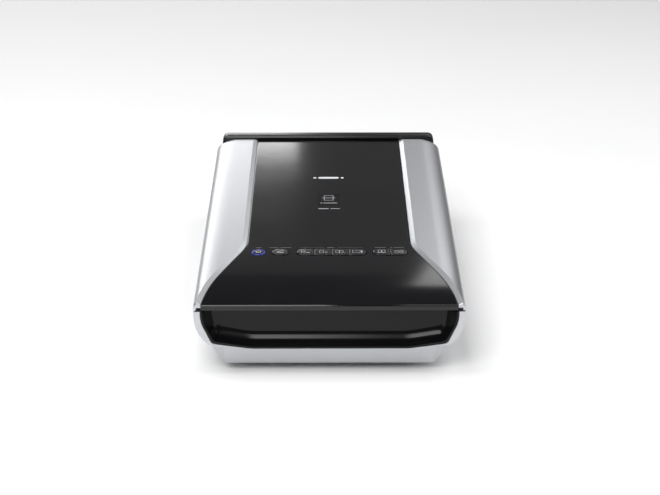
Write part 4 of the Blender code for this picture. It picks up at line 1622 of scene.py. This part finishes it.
@dataclass
class Lid:
    """The lid: wings, panel, rear cover, tray, film light and mat."""

    shape: LidShape
    bevel: float = 5.0
    shell: float = 2.2
    end_wall: float = 2.5
    step: float = 0.4

    def wing_section(self, y: float, inset: float) -> list[Point2]:
        """A wing's section at y, right side, from its inner foot round by the top.

        Args:
            y: The station.
            inset: The wall's thickness for the room inside, else 0.

        Returns:
            The section's points.
        """
        shape = self.shape
        edge = shape.panel_edge(y)
        inner, outer = edge + inset * 0.85, shape.wing_half(y) - inset
        droop = shape.droop(y)
        top = shape.panel_height(y) + self.step - droop * 0.6
        tray_top = LID_Z + 2.5 + GAP
        foot = top - 2.9 if FRONT + 8 < y < WING_REAR_Y - 3 else tray_top
        bevel_x = min(edge + self.bevel, HALF - 2.4)
        points = [(inner, min(foot, top - 0.6)), (inner, top - 0.25 - inset * 0.7)]
        points.append((inner + 0.25, top - inset * 0.7))
        shares = [math.sin(math.radians(a)) for a in range(0, 90, 5)]
        bevel_z = shape.wing_height(bevel_x, y) - droop
        for back, fall in ((0.30, 0.13), (0.0, 0.0)):
            x = inner + (bevel_x - back - edge) * (outer - inner) / (HALF - edge)
            points.append((x, bevel_z - fall - inset))
        for share in shares[1:]:
            x = bevel_x + (HALF - bevel_x) * share
            placed = inner + (x - edge) * (outer - inner) / (HALF - edge)
            points.append((placed, shape.wing_height(x, y) - droop - inset))
        crest = shape.crest(y) - min(droop, 1.0) - inset * 0.5
        points += [(outer, crest), (outer, LID_Z + 0.5), (outer - 0.3, LID_Z)]
        return points + [(min(133.4, outer - 0.7), tray_top)]

    def stations(self) -> list[float]:
        """Where sections are taken along the lid: close together where it turns.

        Returns:
            The stations, from the front to the rear.
        """
        shape = self.shape
        turn = [math.sin(math.radians(a)) for a in range(0, 91, 10)]
        places = [WING_REAR_Y - shape.corner * (1 - s) for s in turn]
        places += [WING_REAR_Y - shape.edge_round * (1 - s) for s in turn]
        places += [FRONT + shape.front_corner * (1 - s) for s in turn]
        places += [FRONT + 1.2 * (1 - s) for s in turn]
        places += [-86.0 - 3.0 * i for i in range(51)]
        places += [200 - 20.0 * i for i in range(15)]
        places += [FRONT + 7.9, FRONT + 8.1, WING_REAR_Y - 3.1, WING_REAR_Y - 2.9]
        return sorted(set(round(y, 3) for y in places))

    def build_wings(self) -> None:
        """The silver wings, hollow beneath."""
        stations = self.stations()
        start, end = FRONT + self.end_wall, WING_REAR_Y - self.end_wall
        loops = [[(x, y, z) for x, z in self.wing_section(y, 0.0)] for y in stations]
        wing = Solid.rolled("right_wing_shell", loops)
        rooms = []
        for y in [start] + [y for y in stations if start < y < end] + [end]:
            section = self.wing_section(y, self.shell)
            bottom = LID_Z - 3.0
            half = [(section[0][0], bottom)] + section[1:-3] + [(section[-3][0], bottom)]
            rooms.append([(x, y, z) for x, z in half])
        wing.cut(Solid.rolled("right_wing_room", rooms))
        wing.dress(Finish.SILVER, 16.0)
        mirror = Matrix.Scale(-1.0, 4, (1.0, 0.0, 0.0))
        other = wing.twin("left_wing_shell", mirror)
        other.fit("lid", "silver_paint", "left_wing")
        wing.fit("lid", "silver_paint", "right_wing")

    def panel_section(self, y: float) -> list[Point2]:
        """The panel's right half section at y, from its top middle to its bottom middle.

        Args:
            y: The station.

        Returns:
            Points of x and z.
        """
        shape = self.shape
        half = shape.panel_edge(y) - GAP
        lip = 1.3
        top = shape.panel_height(y) - quarter_fall(FRONT + lip - y, lip)
        top -= quarter_fall(y - PANEL_REAR_Y + 0.8, 0.8)
        bottom = LID_Z if y < FRONT + self.shell else top - self.shell
        edge = [(half - 0.6, top), (half - 0.18, top - 0.16), (half, top - 0.6)]
        return [(0.0, top)] + edge + [(half, bottom), (0.0, bottom)]

    def build_panel(self) -> None:
        """The black panel with its pockets for the buttons."""
        turn = [1 - math.sin(math.radians(a)) for a in range(0, 91, 10)]
        places = [FRONT + 1.3 * share for share in turn]
        places += [PANEL_REAR_Y - 0.8 * share for share in turn]
        places += [y for y in self.stations() if FRONT + 3.5 < y < PANEL_REAR_Y - 1]
        places += [FRONT + self.shell - 0.01, FRONT + self.shell + 0.01]
        places = sorted(set(round(y, 3) for y in places))
        loops = []
        for y in places:
            section = self.panel_section(y)
            left = [(-x, z) for x, z in reversed(section[1:-1])]
            loops.append([(x, y, z) for x, z in section + left])
        panel = Solid.rolled("panel_cover", loops)
        matrix = self.shape.row_matrix()
        row = ButtonRow(self.shape)
        for pocket in row.pockets():
            reach = row.depth / 2 + GAP
            start, end = (pocket.start - GAP, -reach), (pocket.end + GAP, reach)
            outline = rounded_box(start, end, pocket.radius + GAP)
            panel.cut(Solid.pushed("pocket", outline, "Z", -8.0, 8.0).moved(matrix))
        rim = row.ring_radius + GAP
        ring = [(0.0, -8.0), (rim, -8.0), (rim, 8.0), (0.0, 8.0)]
        panel.cut(Solid.lathe("power_pocket", ring, (row.power_x, 0.0, 0.0)).moved(matrix))
        panel.dress(Finish.POLISHED, 20.0).fit("lid", "gloss_black", "centre_panel")

    def build_cover(self) -> None:
        """The black bar across the rear of the lid, with round ends."""
        start, end = low("rear_cover"), high("rear_cover")
        radius, end_round, wall = 9.0, 7.0, 2.5
        brow, heel = (start.y + 3.2, end.z - 3.7), (end.y - 3.4, end.z - 3.4)
        crown = arc(brow, 3.2, 180, 96, 8) + [(231.0, end.z - 0.34), (233.5, end.z - 0.2)]
        crown += arc(heel, 3.4, 92, 0, 9)
        sections = []
        turn = [math.sin(math.radians(a)) for a in range(0, 91, 9)]
        xs = sorted({round(end.x - radius * (1 - s), 3) for s in turn} | {0.0})
        xs = [-x for x in reversed(xs[1:])] + xs
        for x in xs:
            plan = quarter_fall(abs(x) - end.x + radius, radius)
            fall = quarter_fall(abs(x) - end.x + end_round, end_round)
            loop = [(x, start.y, start.z)]
            for y, z in crown:
                loop.append((x, min(y, end.y - plan), z - fall * 0.9))
            loop += [(x, end.y - plan, start.z + 0.6), (x, end.y - plan - 0.5, start.z)]
            sections.append(loop)
        cover = Solid.rolled("rear_bar", sections)
        side = end.x - wall
        inner = [(220, 60), (220, 104.5), (226.5, 106), (231, 108), (235, 108.4)]
        inner += [(end.y - wall, 107), (end.y - wall, 60)]
        cover.cut(Solid.pushed("cover_room", inner, "X", -side + 5, side - 5))
        for sign in SIDES.values():
            x = sign * POST_X
            notch = rounded_box((x - 19.2, 60), (x + 19.2, 88), (0, 0, 3, 3), 5)
            cover.cut(Solid.pushed("cover_notch", notch, "Y", 220, 250))
        cover.dress(Finish.LACQUER, 28.0).fit("lid", "gloss_black", "rear_cover")

    def build_inside(self) -> None:
        """The lid's underside: tray, film window, bumpers and the white mat."""
        dress_nodes(Finish.GRAINED, "lid_tray")
        dress_nodes(Finish.MILK, "film_window")
        dress_nodes(Finish.GUIDE, "film_light_guide")
        dress_nodes(Finish.BOARD, "button_board")
        nodes = [f"lid_bumper_{row}_{side}" for row in ("front", "rear") for side in SIDES]
        start, end = low(nodes[0]), high(nodes[0])
        outline = rounded_box((start.x, start.y), (end.x, end.y), 2.0, 6)
        pad = Solid.pushed(f"{nodes[0]}_pad", outline, "Z", start.z, end.z).soften(0.35)
        pad.dress(Finish.RUBBER)
        for node in nodes[1:]:
            shift = Matrix.Translation((middle(node) - middle(nodes[0])) * MM)
            pad.twin(f"{node}_pad", shift).fit("lid", "rubber", node)
        pad.fit("lid", "rubber", nodes[0])

    def build_mat(self) -> None:
        """The white mat: a soft-edged sheet with its two hooks."""
        start, end = low("document_mat"), high("document_mat")
        outline = rounded_box((start.x, start.y), (end.x, end.y), 5.0)
        mat = Solid.pushed("mat_sheet", outline, "Z", start.z, start.z + 1.2).soften(0.4, 3)
        for sign in SIDES.values():
            x = sign * 80.0
            stem = Solid.block("stem", (x - 5, 180.5, start.z + 0.8), (x + 5, 182.7, end.z - 0.2))
            lip = Solid.block("lip", (x - 5, 180.5, end.z - 1.2), (x + 5, 188, end.z))
            mat.join(stem, lip)
        mat.dress(Finish.MAT, 30.0).fit("mat", "white_plastic", "document_mat")

    def build(self) -> None:
        """Builds all of the lid but its buttons."""
        self.build_wings()
        self.build_panel()
        self.build_cover()
        self.build_inside()
        self.build_mat()


# ---------------------------------------------------------------------------------------------
# Buttons and print
# ---------------------------------------------------------------------------------------------
@dataclass
class Pocket:
    """A pill-shaped opening in the panel for one or more buttons side by side."""

    start: float
    end: float
    radius: float
    buttons: tuple[str, ...]


class Icon(Enum):
    """The generic pictures on the buttons."""

    SCAN = "auto_scan_button"
    PAGE = "pdf_start_button"
    PAGE_ADD = "pdf_page_button"
    PAGES = "pdf_pages_button"
    DONE = "pdf_finish_button"
    COPY = "copy_button"
    MAIL = "mail_button"


@dataclass
class Drawing:
    """Print drawn flat round (0, 0), as thin strokes that stand a hair above a surface."""

    name: str
    rise: float = 0.02
    thick: float = 0.05

    def __post_init__(self) -> None:
        """Starts with no strokes."""
        self.strokes: list[Solid] = []

    def area(self, outline: Sequence[Point2]) -> "Drawing":
        """Fills an outline.

        Args:
            outline: Its corners.

        Returns:
            The drawing.
        """
        name = f"{self.name}_{len(self.strokes)}"
        top = self.rise + self.thick
        self.strokes.append(Solid.pushed(name, outline, "Z", self.rise, top))
        return self

    def bar(self, start: Point2, end: Point2, width: float) -> "Drawing":
        """Draws a straight stroke with square ends.

        Args:
            start: One end.
            end: The other end.
            width: The stroke's width.

        Returns:
            The drawing.
        """
        along = (Vector(end) - Vector(start)).normalized()
        side = Vector((-along.y, along.x)) * width / 2
        a, b = Vector(start), Vector(end)
        return self.area([tuple(p) for p in (a - side, b - side, b + side, a + side)])

    def loop(self, corners: Sequence[Point2], width: float) -> "Drawing":
        """Draws a closed line of strokes through some corners.

        Args:
            corners: The corners.
            width: The line's width.

        Returns:
            The drawing.
        """
        for a, b in zip(corners, list(corners[1:]) + [corners[0]]):
            reach = (Vector(b) - Vector(a)).normalized() * width / 2
            self.bar(tuple(Vector(a) - reach), tuple(Vector(b) + reach), width)
        return self

    def ring(self, centre: Point2, radius: float, width: float, span: Point2) -> "Drawing":
        """Draws an arc, from one angle to another, in degrees.

        Args:
            centre: The arc's centre.
            radius: The arc's radius.
            width: The line's width.
            span: The first and last angle.

        Returns:
            The drawing.
        """
        outer = arc(centre, radius + width / 2, span[0], span[1], 28)
        inner = arc(centre, radius - width / 2, span[1], span[0], 28)
        return self.area(outer + inner)

    def place(self, matrix: Matrix, finish: Finish, body: str) -> None:
        """Lays the drawing on a surface.

        Args:
            matrix: From the drawing to the surface.
            finish: The print's finish.
            body: The body that it rides on.
        """
        first = self.strokes[0].gather(*self.strokes[1:])
        first.object.name = self.name
        first.moved(matrix).dress(finish, 30.0).fit(body, "white_plastic")


@dataclass
class ButtonRow:
    """The row of buttons across the panel, with their icons and the marks above them."""

    shape: LidShape
    width: float = 18.4
    depth: float = 16.0
    proud: float = 0.8
    gap: float = 0.35
    power_x: float = middle("power_button").x
    power_radius: float = (high("power_button").x - low("power_button").x) / 2
    ring_radius: float = (high("power_ring").x - low("power_ring").x) / 2

    def pockets(self) -> list[Pocket]:
        """The pill-shaped openings, from left to right.

        Returns:
            The pockets.
        """
        stages = ("start", "page", "pages", "finish")
        groups = (
            (-60.6, ("auto_scan_button",)),
            (-34.4, tuple(f"pdf_{stage}_button" for stage in stages)),
            (45.8, ("copy_button", "mail_button")),
        )
        return [Pocket(x, x + self.width * len(names), 7.0, names) for x, names in groups]

    def centre(self, pocket: Pocket, place: int) -> float:
        """The middle of a button in its pocket."""
        return pocket.start + self.width * (place + 0.5)

    def cap(self, name: str, radii: Sequence[float], x: float) -> None:
        """A button cap: a softly crowned top over straight sides.

        Args:
            name: The button's CAD node.
            radii: The radius of each corner in plan.
            x: Its middle.
        """
        half_x, half_y = self.width / 2 - self.gap, self.depth / 2 - self.gap
        levels = [(0.0, -4.2), (0.0, self.proud - 0.62), (0.12, self.proud - 0.3)]
        levels += [(0.36, self.proud - 0.12), (0.75, self.proud - 0.03), (1.3, self.proud)]
        sections = []
        for inset, z in levels:
            shrunk = [max(r - inset, 0.25) for r in radii]
            corners = ((inset - half_x, inset - half_y), (half_x - inset, half_y - inset))
            sections.append([(x + u, v, z) for u, v in rounded_box(*corners, shrunk)])
        cap = Solid.rolled(f"{name}_cap", sections).moved(self.shape.row_matrix())
        cap.dress(Finish.KEY, 40.0).fit(f"{name}_cap", "matt_black", name)

    def build_caps(self) -> None:
        """The seven square caps in their three pockets."""
        for pocket in self.pockets():
            last = len(pocket.buttons) - 1
            for place, name in enumerate(pocket.buttons):
                left = pocket.radius if place == 0 else 0.6
                right = pocket.radius if place == last else 0.6
                self.cap(name, (left, right, right, left), self.centre(pocket, place))

    def build_power(self) -> None:
        """The round power button in its lit ring."""
        at = (self.power_x, 0.0, 0.0)
        r = self.power_radius
        top = [(r, 0.35), (r - 0.15, 0.72), (r - 0.5, 0.95), (r - 1.4, 1.0), (0.0, 0.85)]
        cap = Solid.lathe("power_cap", [(0.0, -4.2), (r, -4.2)] + top, at)
        cap.moved(self.shape.row_matrix()).dress(Finish.KEY, 40.0)
        cap.fit("power_button_cap", "matt_black", "power_button")
        inner, outer = r + GAP, self.ring_radius
        profile = [(inner, -3.0), (outer, -3.0), (outer, 0.25), (outer - 0.2, 0.5)]
        profile += [(outer - 0.6, 0.6), (inner + 0.3, 0.6), (inner, 0.35)]
        loops = []
        for u, v in arc((0.0, 0.0), 1.0, 0.0, 360.0, 48)[:-1]:
            loops.append([(at[0] + u * radius, v * radius, z) for radius, z in profile])
        lens = Solid.rolled("power_lens", loops, ring=True).moved(self.shape.row_matrix())
        lens.dress(Finish.LENS, 40.0).fit("lid", "lit_lens", "power_ring")
        sign = Drawing("power_sign", 0.9).ring((0.0, 0.0), 2.3, 0.55, (115, 425))
        sign.bar((0.0, 0.9), (0.0, 3.1), 0.55)
        matrix = self.shape.row_matrix() @ Matrix.Translation((self.power_x * MM, 0, 0))
        sign.place(matrix, Finish.BRIGHT_PRINT, "power_button_cap")

    @staticmethod
    def page(drawing: Drawing, x: float, y: float) -> Drawing:
        """Draws a small upright page with its middle at x, y."""
        corners = [(x - 2.0, y - 3.0), (x + 2.0, y - 3.0), (x + 2.0, y + 3.0), (x - 2.0, y + 3.0)]
        return drawing.loop(corners, 0.5)

    def draw(self, icon: Icon) -> Drawing:
        """Draws one icon.

        Args:
            icon: Which one.

        Returns:
            The drawing, centred on its button.
        """
        drawing = Drawing(f"{icon.value}_icon", self.proud + 0.01)
        if icon is Icon.SCAN:
            drawing.area([(-4.2, -2.6), (4.2, -2.6), (3.0, -1.0), (-3.0, -1.0)])
            drawing.area([(-3.2, 0.0), (3.6, 2.6), (3.2, 3.4), (-3.6, 0.8)])
        elif icon is Icon.PAGE:
            self.page(drawing, -2.2, 0.6).bar((-3.4, 0.6), (-1.0, 0.6), 0.5)
            drawing.area([(0.6, -2.6), (5.2, -2.6), (4.2, -1.2), (1.4, -1.2)])
        elif icon is Icon.PAGE_ADD:
            self.page(drawing, -1.2, 0.3)
            drawing.bar((2.0, -1.4), (5.0, -1.4), 0.7).bar((3.5, -2.9), (3.5, 0.1), 0.7)
        elif icon is Icon.PAGES:
            self.page(drawing, -2.6, 0.6)
            self.page(drawing, 1.0, -0.2).bar((3.9, -2.6), (5.3, -2.6), 0.7)
        elif icon is Icon.DONE:
            self.page(drawing, -3.4, 0.2)
            self.page(drawing, 0.6, 0.2)
            drawing.area([(3.6, -2.6), (5.0, -2.6), (5.0, 3.2), (3.6, 3.2)])
        elif icon is Icon.COPY:
            drawing.area([(-4.6, -2.8), (4.6, -2.8), (3.4, -1.2), (-3.4, -1.2)])
            self.page(drawing, -1.4, 1.4)
            self.page(drawing, 1.8, 1.4)
        else:
            corners = [(-4.2, -2.2), (4.2, -2.2), (4.2, 2.6), (-4.2, 2.6)]
            drawing.loop(corners, 0.5).bar((-4.2, 2.6), (0.0, -0.3), 0.45)
            drawing.bar((0.0, -0.3), (4.2, 2.6), 0.45)
        return drawing

    def build_icons(self) -> None:
        """An icon on each cap."""
        for pocket in self.pockets():
            for place, name in enumerate(pocket.buttons):
                x = self.centre(pocket, place) * MM
                matrix = self.shape.row_matrix() @ Matrix.Translation((x, 0, 0))
                self.draw(Icon(name)).place(matrix, Finish.PRINT, f"{name}_cap")

    def build_legends(self) -> None:
        """Plain strokes above the buttons, where a maker prints their names."""
        y = self.depth / 2 + 4.6
        strokes = Drawing("button_legends", 0.01, 0.04)
        strokes.bar((self.power_x - 3.0, y), (self.power_x + 3.0, y), 0.9)
        strokes.bar((-63.2, y), (-53.4, y), 0.9).bar((-51.8, y), (-40.0, y), 0.9)
        strokes.bar((-31.4, y), (-5.6, y), 0.35).bar((9.0, y), (35.1, y), 0.35)
        strokes.bar((-2.2, y), (5.6, y), 1.1)
        strokes.bar((48.6, y), (59.6, y), 1.0).bar((64.6, y), (66.8, y), 1.0)
        strokes.bar((68.2, y), (79.0, y), 1.0)
        strokes.place(self.shape.row_matrix(), Finish.DIM_PRINT, "lid")

    def build(self) -> None:
        """Builds the buttons and their print."""
        self.build_caps()
        self.build_power()
        self.build_icons()
        self.build_legends()


@dataclass
class Badges:
    """Generic marks on the panel: a bar, and a dark plate with a picture of a page and a beam."""

    shape: LidShape
    bar_y: float = 92.7
    bar_half: float = 17.5
    plate_y: float = 25.5
    plate_half: float = 12.2
    caption_y: float = -2.1

    def build_bar(self) -> None:
        """A raised bright bar between two dots."""
        bar = rounded_box((-self.bar_half + 5.5, -2.6), (self.bar_half - 5.5, 2.6), 2.6)
        mark = Drawing("front_mark", 0.02, 0.3).area(bar)
        for sign in SIDES.values():
            x = sign * (self.bar_half - 1.6)
            mark.area(arc((x, 0.0), 1.9, 0, 345, 23))
        mark.place(self.shape.flat_matrix(self.bar_y), Finish.BRIGHT_PRINT, "lid")

    def build_plate(self) -> None:
        """The dark plate, with its picture and a caption of plain strokes."""
        matrix = self.shape.flat_matrix(self.plate_y)
        half = self.plate_half
        plate = Drawing("mark_plate", 0.01, 0.04).area(rounded_box((-half, -17), (half, 17), 1.2))
        plate.place(matrix, Finish.PLATE, "lid")
        picture = Drawing("mark_picture", 0.06, 0.04)
        picture.loop([(-5.0, -2.5), (5.0, -2.5), (5.0, 11.5), (-5.0, 11.5)], 0.8)
        picture.bar((-7.4, 4.5), (7.4, 4.5), 1.2)
        picture.bar((-9.2, -10.8), (-7.4, -10.8), 2.2).bar((-6.2, -10.8), (9.4, -10.8), 1.7)
        picture.place(matrix, Finish.PRINT, "lid")
        caption = Drawing("mark_caption", 0.01, 0.04)
        caption.bar((-11.8, 0.0), (-0.2, 0.0), 1.9).bar((1.8, 0.0), (12.2, 0.0), 1.3)
        caption.place(self.shape.flat_matrix(self.caption_y), Finish.PRINT, "lid")

    def build(self) -> None:
        """Builds the marks."""
        self.build_bar()
        self.build_plate()


# ---------------------------------------------------------------------------------------------
# Studio
# ---------------------------------------------------------------------------------------------
@dataclass
class SoftBox:
    """A rectangular soft light, in metres."""

    name: str
    at: Point3
    aim: Point3
    size: Point2
    power: float
    tint: Point3 = (1.0, 1.0, 1.0)

    def build(self) -> None:
        """Hangs the light."""
        data = bpy.data.lights.new(self.name, "AREA")
        data.shape = "RECTANGLE"
        data.size, data.size_y = self.size
        data.energy = self.power
        data.color = self.tint
        lamp = bpy.data.objects.new(self.name, data)
        lamp.location = self.at
        aim = Vector(self.aim) - Vector(self.at)
        lamp.rotation_euler = aim.to_track_quat("-Z", "Y").to_euler()
        bpy.context.scene.collection.objects.link(lamp)


@dataclass
class Stage:
    """The floor, the lights and the camera."""

    camera_at: Point3 = (-0.0061, -1.8543, 0.7365)
    pitch: float = 20.4
    yaw: float = 0.23
    lens: float = 95.8
    floor_half: float = 9.0
    world: Point3 = (0.07, 0.07, 0.073)

    def lights(self) -> list[SoftBox]:
        """The studio's soft boxes.

        Returns:
            The soft boxes.
        """
        return [
            SoftBox("overhead_left", (-1.1, 0.1, 2.3), (-1.1, 0.1, 0.0), (2.2, 1.8), 42.0),
            SoftBox("overhead_right", (1.3, 0.1, 2.3), (1.3, 0.1, 0.0), (1.6, 1.8), 24.0),
            SoftBox("rear_left", (-1.06, 2.9, 1.0), (-1.06, 0.0, 1.0), (1.96, 0.56), 15.5),
            SoftBox("rear_right", (1.0, 2.9, 2.02), (0.4, 0.0, 0.1), (1.4, 0.74), 7.4),
            SoftBox("rear_wide", (0.2, 3.1, 1.3), (0.2, 0.0, 0.9), (3.2, 1.6), 1.4),
            SoftBox("left_side", (-2.2, 0.2, 1.1), (0.0, 0.0, 0.08), (1.6, 1.4), 2.0),
            SoftBox("right_side", (2.2, -0.3, 1.1), (0.0, 0.0, 0.08), (1.6, 1.4), 13.0),
            SoftBox("front_high", (-0.52, -1.45, 1.45), (-0.52, -0.2, 0.05), (1.08, 1.1), 24.0),
        ]

    def build(self) -> None:
        """Sets the stage."""
        deselect()
        bpy.ops.mesh.primitive_plane_add(size=self.floor_half * 2)
        floor = bpy.context.object
        floor.name = "studio_floor"
        floor.data.materials.append(Finish.FLOOR.material())
        for light in self.lights():
            light.build()
        world = bpy.data.worlds.new("studio")
        world.use_nodes = True
        world.node_tree.nodes["Background"].inputs[0].default_value = (*self.world, 1.0)
        bpy.context.scene.world = world
        bpy.context.scene.view_settings.view_transform = "Standard"
        data = bpy.data.cameras.new("camera")
        data.lens = self.lens
        camera = bpy.data.objects.new("camera", data)
        camera.location = self.camera_at
        camera.rotation_euler = (math.radians(90 - self.pitch), 0.0, -math.radians(self.yaw))
        bpy.context.scene.collection.objects.link(camera)
        bpy.context.scene.camera = camera


def main() -> None:
    """Builds every sub-assembly in order."""
    logging.basicConfig(level=logging.INFO, format="%(name)s: %(message)s")
    shape = LidShape()
    Base().build()
    Carriage().build()
    Lid(shape).build()
    ButtonRow(shape).build()
    Badges(shape).build()
    Stage().build()


if __name__ == "__main__":
    main()
